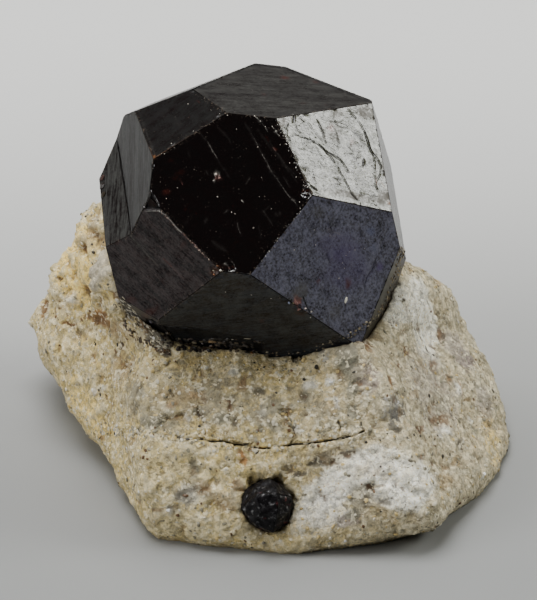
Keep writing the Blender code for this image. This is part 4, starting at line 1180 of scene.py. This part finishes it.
def garnet_material():
    n = Nodes("garnet")
    flat = n.attribute("flat", "Vector")
    place = n.millimetres()
    lines, etch, haze_and_sheen = n.attribute("lines"), n.attribute("etch"), n.attribute("haze_and_sheen", "Color")

    # Growth lines along each face, etched lines that wander over it, and fine pits.
    drawn = n.stretched(flat, (0.0, 0.0, 0.0), (0.12, 1.0, 1.0))
    streaks = n.noise(drawn, 0.13, 3.0, 0.6, 0.3)
    broad_streaks = n.noise(n.stretched(flat, (0.0, 0.0, 0.05), (0.1, 1.0, 1.0)), 0.7, 2.0, 0.5, 0.4)
    dashes = n.noise(n.stretched(flat, (0.0, 0.0, 0.12), (0.3, 1.0, 1.0)), 0.1, 2.0, 0.5)
    pits = n.noise(flat, 0.13, 3.0, 0.6)
    mottle = n.noise(flat, 0.8, 5.0, 0.62)
    speckle = n.noise(flat, 0.15, 3.0, 0.65)

    # Near-black red body under a film of growth lines, mottling and face colour; on the blue face that colour is a
    # painted bluish sheen.
    red = n.ramp(n.noise(flat, 1.3, 4.0, 0.65), 0.64, 0.74)
    red = n.math("MULTIPLY", red, n.ramp(n.noise(place, 0.16, 2.0), 0.45, 0.62))
    body = n.mix(n.math("MULTIPLY", red, 0.4), (0.006, 0.0035, 0.0035, 1.0), srgb(82, 26, 20))
    film = n.math("MULTIPLY", n.math("SUBTRACT", streaks, 0.5), n.math("MULTIPLY", lines, 2.8))
    film = n.math("ADD", film, n.math("MULTIPLY", n.math("SUBTRACT", broad_streaks, 0.5), n.math("MULTIPLY", lines, 2.0)))
    film = n.math("ADD", film, n.math("MULTIPLY", n.math("SUBTRACT", mottle, 0.5), 0.9))
    film = n.math("ADD", film, n.math("MULTIPLY", n.math("SUBTRACT", speckle, 0.5), n.math("ADD", n.math("MULTIPLY", etch, 2.6), 0.8)))
    colour = n.mix(n.math("ADD", film, 0.55, clamp=True), body, haze_and_sheen)
    dust = n.ramp(n.noise(place, 0.09, 1.0), 0.71, 0.78)
    dust = n.math("MULTIPLY", dust, n.ramp(n.noise(place, 1.1, 2.0), 0.45, 0.6))
    colour = n.mix(n.math("MULTIPLY", dust, 0.4), colour, srgb(140, 128, 116))
    edge = n.attribute("edge")
    worn = n.math("MULTIPLY", edge, n.ramp(n.noise(place, 0.13, 2.0, 0.6), 0.58, 0.68))
    colour = n.mix(n.math("MULTIPLY", worn, 0.5), colour, srgb(132, 118, 104))
    broken = n.attribute("broken")
    flecks = n.ramp(n.noise(place, 0.2, 2.0), 0.5, 0.7)
    colour = n.mix(n.math("MULTIPLY", n.math("MULTIPLY", broken, flecks), 0.35), colour, srgb(120, 70, 56))

    # Marks placed one by one.
    fray = n.noise(flat, 0.06, 3.0, 0.65)
    torn = n.noise(flat, 0.25, 6.0, 0.8)
    cover = n.attribute("mark", "Alpha")
    ragged = n.ramp(n.math("ADD", cover, n.math("SUBTRACT", fray, 0.5)), 0.22, 0.8)
    cover = n.math("MULTIPLY", n.math("ADD", n.math("MULTIPLY", ragged, 1.3), 0.2), cover, clamp=True)
    colour = n.mix(cover, colour, n.attribute("mark", "Color"))
    n.put(n.shader, "Base Color", colour)
    worn_off = n.math("SUBTRACT", 1.0, n.attribute("shine"))
    broken_up = n.ramp(n.math("ADD", worn_off, n.math("MULTIPLY", n.math("SUBTRACT", torn, 0.5), 2.6)), 0.3, 0.62)
    worn_off = n.math("MULTIPLY", n.math("ADD", n.math("MULTIPLY", broken_up, 0.8), 0.2), worn_off)
    shine = n.math("SUBTRACT", 1.0, n.math("MULTIPLY", worn_off, 1.15), clamp=True)

    rough = n.math("ADD", n.attribute("rough"), n.math("MULTIPLY", n.math("SUBTRACT", mottle, 0.5), 0.2))
    rough = n.math("ADD", rough, n.math("MULTIPLY", worn_off, 0.35), clamp=True)
    n.put(n.shader, "Roughness", rough)
    n.put(n.shader, "IOR", 1.8)
    pocks = n.math("MULTIPLY", n.ramp(dashes, 0.44, 0.32), n.math("MULTIPLY", etch, 0.7))
    for size, thin, strength in ((0.9, 0.010, 0.75), (0.5, 0.010, 0.5)):
        contour = n.math("ABSOLUTE", n.math("SUBTRACT", n.noise(n.stretched(flat, (0.0, 0.0, size), (0.4, 1.0, 1.0)), size, 2.0, 0.5, 0.3), 0.5))
        gap = n.ramp(n.noise(flat, 0.5, 2.0), 0.42, 0.6)
        line = n.math("MULTIPLY", n.ramp(contour, thin, 0.3 * thin), n.math("MULTIPLY", gap, strength))
        pocks = n.math("MAXIMUM", pocks, n.math("MULTIPLY", line, etch))
    uneven = n.math("MULTIPLY", n.math("SUBTRACT", mottle, 0.5), n.math("MULTIPLY", etch, 2.4))
    uneven = n.math("ADD", uneven, n.math("MULTIPLY", n.math("SUBTRACT", fray, 0.5), n.math("MULTIPLY", etch, 2.6)))
    veil = n.ramp(n.noise(n.stretched(flat, (0.0, 0.0, 0.9), (0.55, 1.0, 1.0)), 0.6, 9.0, 0.82), 0.47, 0.62)
    uneven = n.math("SUBTRACT", uneven, n.math("MULTIPLY", veil, n.math("MULTIPLY", etch, 0.5)))
    gloss = n.math("ADD", n.math("SUBTRACT", 1.0, pocks), uneven)
    gloss = n.math("MULTIPLY", n.math("MULTIPLY", gloss, n.attribute("gloss")), shine)
    n.put(n.shader, "Specular IOR Level", n.math("MULTIPLY", gloss, 0.5, clamp=True))

    height = n.math("MULTIPLY", n.math("MULTIPLY", streaks, lines), 0.5)
    height = n.math("ADD", height, n.math("MULTIPLY", n.math("MULTIPLY", broad_streaks, lines), 1.2))
    height = n.math("ADD", height, n.math("MULTIPLY", n.math("MULTIPLY", dashes, etch), 0.5))
    height = n.math("ADD", height, n.math("MULTIPLY", pits, n.math("ADD", n.math("MULTIPLY", etch, 0.5), 0.12)))
    bump = n.add("Bump", {"Strength": 0.6, "Distance": 0.000012, "Height": height})
    n.put(n.shader, "Normal", bump)
    return n.material


def small_garnet_mesh():
    mesh, _ = crystal_mesh("small_garnet", SMALL_PLANES, 0.05, 0.09, 0.09)
    points, facing = get_points(mesh), get_normals(mesh)
    relief = 0.06 * broken_facets(points, 0.45, 3.1) + 0.035 * broken_facets(points, 0.2, 7.7)
    points = points + facing * (relief - 0.02)[:, None]
    set_points(mesh, points)
    mesh.shade_smooth()
    mesh.set_sharp_from_angle(angle=math.radians(28))
    return mesh


def small_garnet_material():
    n = Nodes("small_garnet")
    place = n.millimetres()
    mottle = n.noise(place, 0.3, 4.0, 0.65)
    colour = n.mix(n.ramp(mottle, 0.4, 0.7), (0.004, 0.0035, 0.004, 1.0), srgb(30, 28, 30))
    colour = n.mix(n.ramp(n.noise(place, 0.5, 3.0), 0.64, 0.72), colour, srgb(70, 34, 34))
    n.put(n.shader, "Base Color", colour)
    n.put(n.shader, "Roughness", n.math("ADD", n.math("MULTIPLY", mottle, 0.5), 0.1))
    n.put(n.shader, "IOR", 1.8)
    shiny = n.ramp(n.noise(place, 0.22, 3.0, 0.6), 0.56, 0.7)
    n.put(n.shader, "Specular IOR Level", n.math("ADD", n.math("MULTIPLY", shiny, 0.6), 0.06))
    fine = n.noise(place, 0.08, 3.0, 0.6)
    n.put(n.shader, "Normal", n.add("Bump", {"Strength": 0.8, "Distance": 0.00003, "Height": fine}))
    return n.material


# ---------------------------------------------------------------- loose grains and mica
# Grains seen one by one, some of them painted glints: what it is, pixel, reach across and up in pixels, turn, screen
# colour.
GRAINS = (
    ("mica flake", (117.5, 300.5), (4.0, 2.2), 40, (206, 200, 180)),
    ("mica flake", (123.5, 304.5), (2.2, 2.0), 30, (190, 184, 160)),
    ("mica flake", (129.5, 308.0), (2.6, 1.6), 35, (184, 178, 158)),
    ("mica flake", (139.5, 319.0), (1.6, 1.3), 30, (176, 170, 150)),
    ("mica flake", (126.0, 318.5), (2.4, 2.0), 40, (186, 180, 158)),
    ("mica flake", (130.0, 323.0), (3.8, 1.6), 40, (198, 192, 172)),
    ("mica flake", (136.0, 328.5), (2.4, 1.4), 45, (150, 142, 118)),
    ("mica flake", (141.0, 325.0), (2.2, 1.6), 40, (188, 182, 160)),
    ("mica flake", (142.0, 330.0), (3.0, 2.0), 40, (176, 168, 146)),
    ("mica flake", (147.0, 334.5), (3.2, 1.8), 42, (184, 178, 158)),
    ("mica flake", (153.5, 338.0), (3.2, 1.9), 40, (224, 220, 208)),
    ("mica flake", (157.0, 333.0), (1.4, 1.2), 20, (170, 164, 148)),
    ("mica flake", (164.0, 347.0), (3.6, 1.2), 48, (168, 160, 138)),
    ("grain on the lower face", (178.6, 338.5), (2.6, 1.5), 20, (150, 140, 116)),
    ("grain on the lower face", (194.2, 342.5), (3.2, 2.0), 35, (158, 146, 120)),
    ("tan grain", (212.0, 341.0), (5.0, 3.8), 10, (128, 104, 70)),
    ("tan grain", (211.0, 346.5), (4.0, 2.2), 0, (96, 74, 52)),
    ("tan grain", (204.0, 349.0), (4.2, 2.4), -10, (60, 44, 34)),
    ("white grain", (228.5, 339.6), (1.4, 1.1), 0, (222, 216, 196)),
    ("white grain", (232.6, 339.4), (1.3, 1.0), 0, (210, 204, 186)),
    ("pale streak", (248.0, 338.5), (5.0, 1.1), 4, (128, 122, 106)),
    ("round pale grain", (256.7, 352.0), (1.8, 1.7), 0, (176, 172, 150)),
    ("grain", (169.0, 344.5), (1.8, 1.4), 0, (140, 132, 112)),
    ("grain", (156.5, 333.5), (1.6, 1.3), 0, (126, 118, 102)),
    ("purple-grey grain", (151.0, 322.0), (3.4, 2.6), 30, (88, 80, 90)),
    ("red-brown grain", (218.0, 349.5), (3.0, 1.8), 0, (84, 48, 34)),
    ("orange grain", (252.0, 353.0), (2.4, 1.5), 0, (136, 92, 50)),
    # A painted glint: a white grain where the blue face catches the light.
    ("painted glint on the blue face", (346.0, 300.0), (1.9, 4.0), 15, (226, 222, 204)),
    ("speck in the pink chip", (293.5, 303.0), (1.5, 1.4), 0, (226, 216, 160)),
    ("speck in the pink chip", (305.5, 308.5), (1.4, 1.2), 0, (214, 196, 186)),
    ("speck by the pink chip", (311.5, 311.8), (1.2, 1.2), 0, (206, 200, 192)),
    ("speck by the pink chip", (310.6, 317.4), (1.0, 1.2), 0, (190, 186, 180)),
    ("bluish speck", (289.0, 303.0), (1.3, 2.4), 0, (150, 160, 190)),
    ("pinkish chip", (299.0, 309.5), (2.4, 1.6), -20, (150, 104, 96)),
    ("speck at the lower corner", (213.5, 270.5), (1.3, 1.2), 0, (214, 204, 180)),
    ("speck at the lower corner", (220.5, 270.5), (1.3, 1.4), 20, (220, 214, 196)),
    ("orange speck at the corner", (214.0, 274.5), (1.7, 1.4), 0, (150, 92, 44)),
    ("orange speck at the corner", (217.5, 266.0), (1.5, 1.2), 0, (128, 82, 46)),
    ("white speck in the pit", (144.2, 207.0), (0.9, 1.0), 0, (206, 204, 206)),
    ("dust on the dark face", (216.0, 174.2), (1.6, 1.3), 15, (196, 178, 166)),
    ("dust on the dark face", (219.0, 178.0), (1.5, 1.1), -20, (150, 112, 100)),
    ("knob at the left", (102.6, 177.5), (4.4, 4.6), 0, (70, 48, 42)),
    ("knob at the left", (103.0, 186.0), (4.6, 5.0), 0, (34, 26, 21)),
    ("knob at the left", (103.4, 194.5), (4.0, 4.4), 0, (50, 42, 31)),
    ("bright knob", (113.0, 308.5), (4.4, 3.8), 20, (214, 204, 172)),
    ("bright knob", (110.0, 316.0), (2.6, 3.0), 0, (196, 178, 132)),
    ("dark grain", (117.5, 345.0), (1.6, 3.0), 0, (40, 34, 28)),
    # Painted glints: white grains where the rock catches the light.
    ("glint", (92.5, 390.0), (2.2, 2.6), 0, (255, 255, 250)),
    ("glint", (168.5, 510.0), (2.8, 2.2), 0, (255, 255, 250)),
    ("glint", (484.0, 474.0), (2.4, 2.6), 0, (255, 255, 250)),
    ("glint", (331.0, 382.0), (2.8, 2.2), 0, (255, 255, 250)),
    ("glint", (139.0, 492.0), (2.0, 1.8), 0, (255, 255, 250)),
    ("glint", (302.0, 431.0), (2.6, 2.2), 0, (250, 246, 226)),
)
# Fine specks on the crystal, as pixels.
SPECKS = (
    (188, 104), (204, 98), (211, 110), (219.5, 113.7), (227.4, 115.3), (223.6, 111.5), (193.5, 131), (171.4, 143.4),
    (161.5, 153.6), (164.3, 153.8), (254.6, 116), (260.3, 121), (265.4, 126.7), (272.4, 126.7), (276.2, 131),
    (279.3, 135.5), (280, 144.7), (285.7, 143.8), (257.8, 147), (177.4, 187.8), (166.3, 198.6), (217.5, 196.7),
    (213.5, 180.5), (261.6, 177.6), (259.4, 196.7), (231.5, 212.2), (235, 214), (271.4, 208.7), (253.4, 228),
    (236.3, 129.2), (306.6, 194), (299.6, 202), (303.4, 185.6), (300.2, 208.4), (314.3, 230), (364.3, 248.5),
    (346, 255.4), (355, 250), (349.7, 251.7), (294.3, 250), (315.6, 244.7), (342.3, 263), (344.4, 268.2),
    (339, 278.3), (374.8, 309.3), (271, 298.5), (280, 298), (251.3, 295), (225.5, 292), (252.5, 90),
    (291, 118), (303.5, 190), (311, 196), (289.7, 163), (296.2, 177), (283, 238), (275, 247), (265, 266),
)
# Bands of small grains: what they are, how many, reach, line in pixels, half width, turn, colours.
BANDS = (
    ("mica along the lower left edge", 95, (3.2, 1.1), ((119, 301), (128, 312), (140, 324), (152, 336), (168, 350)),
     6.0, 42, ((176, 168, 146), (128, 120, 98), (84, 74, 56), (198, 192, 174), (54, 46, 36))),
    # Partly a brown crevice, partly painted shadow: dark grains where the crevice under the mica lies in shade.
    ("shadowed groove below the mica, painted dark", 60, (2.8, 1.5), ((124, 322), (133, 334), (145, 342), (158, 350), (170, 354)),
     3.0, 40, ((48, 38, 26), (66, 50, 32), (90, 68, 40))),
    ("rubble under the lower face", 130, (3.2, 2.2), ((160, 335), (175, 344), (195, 345), (225, 344), (258, 348)),
     6.5, 5, ((44, 40, 34), (32, 28, 26), (62, 54, 44), (52, 40, 32), (96, 84, 66))),
    ("flecks along the edge of the bright face", 60, (0.9, 0.6), ((276, 119), (285, 137), (294, 158), (301, 175), (307, 190)),
     2.0, -60, ((170, 168, 160), (60, 58, 56), (206, 202, 194), (24, 23, 22))),
    ("beads along the lower left edge", 44, (0.9, 0.7), ((160, 211), (182, 233), (198, 249), (216, 267)),
     0.8, -45, ((170, 150, 134), (120, 90, 76), (64, 44, 38))),
    ("grit along the edge of the blue face", 34, (0.8, 0.6), ((306, 205), (288, 226), (268, 252), (254, 271)),
     0.9, 50, ((130, 128, 130), (50, 48, 50), (190, 188, 184))),
    ("crust beside the lower right edge", 90, (1.9, 1.4), ((402, 248), (399, 262), (394, 280), (388, 298), (380, 313)),
     3.0, 70, ((150, 132, 98), (104, 84, 54), (176, 162, 128), (66, 52, 36))),
    ("grit below the crystal", 110, (1.9, 1.3), ((262, 353), (290, 354), (320, 348), (346, 337), (368, 324), (384, 312)),
     2.6, -15, ((60, 52, 42), (120, 108, 86), (40, 34, 28), (168, 158, 132))),
)


def surface_of(*meshes):
    """A tree to cast rays on, of several finished meshes."""
    bm = bmesh.new()
    for mesh in meshes:
        bm.from_mesh(mesh)
    tree = BVHTree.FromBMesh(bm)
    bm.free()
    return tree


class Grains:
    """Small angular solids, gathered into one mesh."""

    def __init__(self, seed):
        self.random = np.random.default_rng(seed)
        ball = bmesh.new()
        bmesh.ops.create_icosphere(ball, subdivisions=1, radius=1.0)
        self.ball = np.array([v.co[:] for v in ball.verts])
        self.ball_faces = np.array([[v.index for v in f.verts] for f in ball.faces])
        ball.free()
        self.points, self.faces, self.tints = [], [], []

    def add(self, place, normal, across, reach, colour):
        """One grain about a point; its reach across, along and out of the surface is in mm."""
        normal = np.array(normal)
        across = np.array(across) - normal * np.dot(across, normal)
        across /= np.linalg.norm(across)
        corners = self.ball * self.random.uniform(0.6, 1.1, (len(self.ball), 1))
        axes = np.array([across, np.cross(normal, across), normal]) * np.array(reach)[:, None]
        self.faces.append(self.ball_faces + len(self.ball) * len(self.points))
        self.points.append(np.array(place) + corners @ axes)
        tint = np.array(srgb(*colour)) * self.random.uniform(0.8, 1.15)
        self.tints.append(np.tile(tint, (len(self.ball), 1)))

    def add_seen(self, surface, pixel, reach, turn, colour, stand):
        """One grain, half sunk in the surface that shows at a pixel; its reach is in pixels."""
        hit, normal, _, away = surface.ray_cast(CAMERA_PLACE, pixel_ray(pixel))
        if hit is None or away > CAMERA_DISTANCE + 14.0:
            return
        angle = math.radians(turn)
        across = CAMERA_RIGHT * math.cos(angle) - CAMERA_UP * math.sin(angle)
        rx, ry = (r / PIXELS_PER_MM for r in reach)
        self.add(hit, normal, across, (rx, ry, stand * min(rx, ry)), colour)

    def mesh(self):
        mesh = bpy.data.meshes.new("grains")
        mesh.from_pydata(np.concatenate(self.points).tolist(), [], np.concatenate(self.faces).tolist())
        add_attribute(mesh, "tint", np.concatenate(self.tints), "FLOAT_COLOR")
        return mesh


# Grains that stand all over the rock: how many in a hundred, screen colour, where they gather.
ROCK_GRAINS = 5200
GRAIN_KINDS = (
    (26, (222, 214, 190), 0.0), (14, (206, 182, 122), 0.0), (20, (150, 144, 120), 0.0),
    (12, (112, 106, 88), 0.12), (15, (62, 56, 44), 0.2), (9, (104, 74, 40), 0.15), (4, (240, 238, 230), 0.1),
)


def scatter_on_rock(grains, points, normals):
    """Small grains half sunk in the rock, gathered in clusters by kind."""
    outside, _ = outside_of(points, GARNET_PLANES)
    beside, _ = outside_of(points, SMALL_PLANES)
    free = np.flatnonzero((points[:, 2] > 0.35) & (outside > 0.35) & (beside > 0.2))
    free = free[np.lexsort(points[free].T)]  # the remesher gives its vertices in no fixed order
    shares = np.array([kind[0] for kind in GRAIN_KINDS], dtype=float)
    for index in grains.random.choice(free, size=ROCK_GRAINS, replace=False):
        kind = grains.random.choice(len(GRAIN_KINDS), p=shares / shares.sum())
        _, colour, gather = GRAIN_KINDS[kind]
        place = Vector(points[index].tolist()) / 2.3 + Vector((kind, kind, kind)) * 3.7
        if gather and noise.noise(place) < gather * 0.6:
            continue
        size = 0.05 + 0.11 * grains.random.random() ** 2
        reach = (size * grains.random.uniform(0.9, 1.7), size, size * 0.5)
        grains.add(points[index], normals[index], grains.random.normal(size=3), reach, colour)


def grains_mesh(rock, surface):
    grains = Grains(7)
    scatter_on_rock(grains, get_points(rock), get_normals(rock))
    for _, pixel, reach, turn, colour in GRAINS:
        grains.add_seen(surface, pixel, reach, turn, colour, 0.6)
    for pixel in SPECKS:
        size = grains.random.uniform(0.5, 0.9)
        turn = grains.random.uniform(0, 180)
        grains.add_seen(surface, pixel, (size, size * 0.8), turn, (196, 188, 176), 0.4)
    for _, count, reach, line, width, turn, colours in BANDS:
        for _ in range(count):
            run = grains.random.uniform(0, len(line) - 1)
            a, b = np.array(line[int(run)]), np.array(line[int(run) + 1])
            side = np.array([-(b - a)[1], (b - a)[0]]) / np.linalg.norm(b - a)
            pixel = a + (b - a) * (run % 1.0) + side * grains.random.uniform(-width, width)
            size = grains.random.uniform(0.5, 1.15)
            colour = colours[grains.random.integers(len(colours))]
            across = turn + grains.random.normal() * 14
            grains.add_seen(surface, pixel, (reach[0] * size, reach[1] * size), across, colour, 0.8)
    return grains.mesh()


def grains_material():
    n = Nodes("grains")
    place = n.millimetres()
    mottle = n.noise(place, 0.12, 3.0, 0.6)
    colour = n.mix(n.ramp(mottle, 0.35, 0.75), n.attribute("tint", "Color"), srgb(120, 108, 88), blend="MULTIPLY")
    colour = n.mix(0.65, colour, n.attribute("tint", "Color"))
    n.put(n.shader, "Base Color", colour)
    n.put(n.shader, "Roughness", n.math("ADD", n.math("MULTIPLY", mottle, 0.5), 0.15))
    n.put(n.shader, "Normal", n.add("Bump", {"Strength": 0.6, "Distance": 0.00002, "Height": mottle}))
    return n.material


# ---------------------------------------------------------------- floor, light
def add_floor():
    bm = bmesh.new()
    bmesh.ops.create_grid(bm, x_segments=1, y_segments=1, size=2.0)
    mesh = bpy.data.meshes.new("floor")
    bm.to_mesh(mesh)
    bm.free()
    floor = bpy.data.objects.new("floor", mesh)
    bpy.context.scene.collection.objects.link(floor)
    n = Nodes("floor")
    place = n.millimetres()
    # Painted light: the floor is painted dark in front and pale towards the back, where it shows behind the rock as
    # the brightly lit backdrop.
    depth = n.add("SeparateXYZ", {0: place}, out=1)
    colour = n.mix(n.ramp(depth, -10.0, 75.0), (0.285, 0.29, 0.285, 1.0), (0.82, 0.82, 0.80, 1.0))
    n.put(n.shader, "Base Color", colour)
    n.put(n.shader, "Roughness", 0.6)
    mesh.materials.append(n.material)


def add_card(name, direction, distance, size, radiance, colour=(1.0, 1.0, 1.0)):
    """A soft rectangular light that faces the object. Distance and size are in metres."""
    data = bpy.data.lights.new(name, "AREA")
    data.shape = "RECTANGLE"
    data.size, data.size_y = size
    data.energy = radiance * math.pi * size[0] * size[1]
    data.color = colour
    light = bpy.data.objects.new(name, data)
    direction = Vector(direction).normalized()
    light.location = CAMERA_TARGET * MM + direction * distance
    light.rotation_euler = direction.to_track_quat("Z", "Y").to_euler()
    bpy.context.scene.collection.objects.link(light)


def add_light():
    world = bpy.data.worlds.new("studio")
    world.use_nodes = True
    tree = world.node_tree
    background = tree.nodes["Background"]
    direction = tree.nodes.new("ShaderNodeTexCoord")
    facing = tree.nodes.new("ShaderNodeVectorMath")
    facing.operation = "DOT_PRODUCT"
    facing.inputs[1].default_value = Vector((0.12, -0.74, 0.66)).normalized()
    tree.links.new(direction.outputs["Generated"], facing.inputs[0])
    ramp = tree.nodes.new("ShaderNodeMapRange")
    ramp.interpolation_type = "SMOOTHSTEP"
    ramp.inputs["From Min"].default_value = 0.55
    ramp.inputs["From Max"].default_value = 0.93
    ramp.inputs["To Min"].default_value = 0.5
    ramp.inputs["To Max"].default_value = 0.08
    tree.links.new(facing.outputs["Value"], ramp.inputs["Value"])
    behind = tree.nodes.new("ShaderNodeVectorMath")
    behind.operation = "DOT_PRODUCT"
    behind.inputs[1].default_value = Vector((0.1, 0.97, 0.2)).normalized()
    tree.links.new(direction.outputs["Generated"], behind.inputs[0])
    glow = tree.nodes.new("ShaderNodeMapRange")
    glow.interpolation_type = "SMOOTHSTEP"
    glow.inputs["From Min"].default_value = 0.6
    glow.inputs["From Max"].default_value = 1.0
    glow.inputs["To Min"].default_value = 0.0
    glow.inputs["To Max"].default_value = 0.9
    tree.links.new(behind.outputs["Value"], glow.inputs["Value"])
    total = tree.nodes.new("ShaderNodeMath")
    tree.links.new(ramp.outputs["Result"], total.inputs[0])
    tree.links.new(glow.outputs["Result"], total.inputs[1])
    tree.links.new(total.outputs["Value"], background.inputs["Strength"])
    bpy.context.scene.world = world
    add_card("overhead", (-0.15, 0.12, 0.98), 0.36, (0.30, 0.26), 8.0)
    add_card("window", (0.846, 0.083, 0.546), 0.30, (0.13, 0.11), 9.6, (0.99, 1.0, 0.95))
    add_card("left_fill", (-0.85, -0.45, 0.42), 0.40, (0.24, 0.24), 4.5)


add_camera()
add_floor()
add_light()
rock, large, small = rock_mesh(), garnet_mesh(), small_garnet_mesh()
grains = grains_mesh(rock, surface_of(rock, large))
add_piece("rock", rock, rock_material(), "stone", "matrix")
add_piece("large_crystal", large, garnet_material(), "garnet", "garnet")
add_piece("small_crystal", small, small_garnet_material(), "garnet", "small_garnet")
add_piece("grains", grains, grains_material(), "stone")
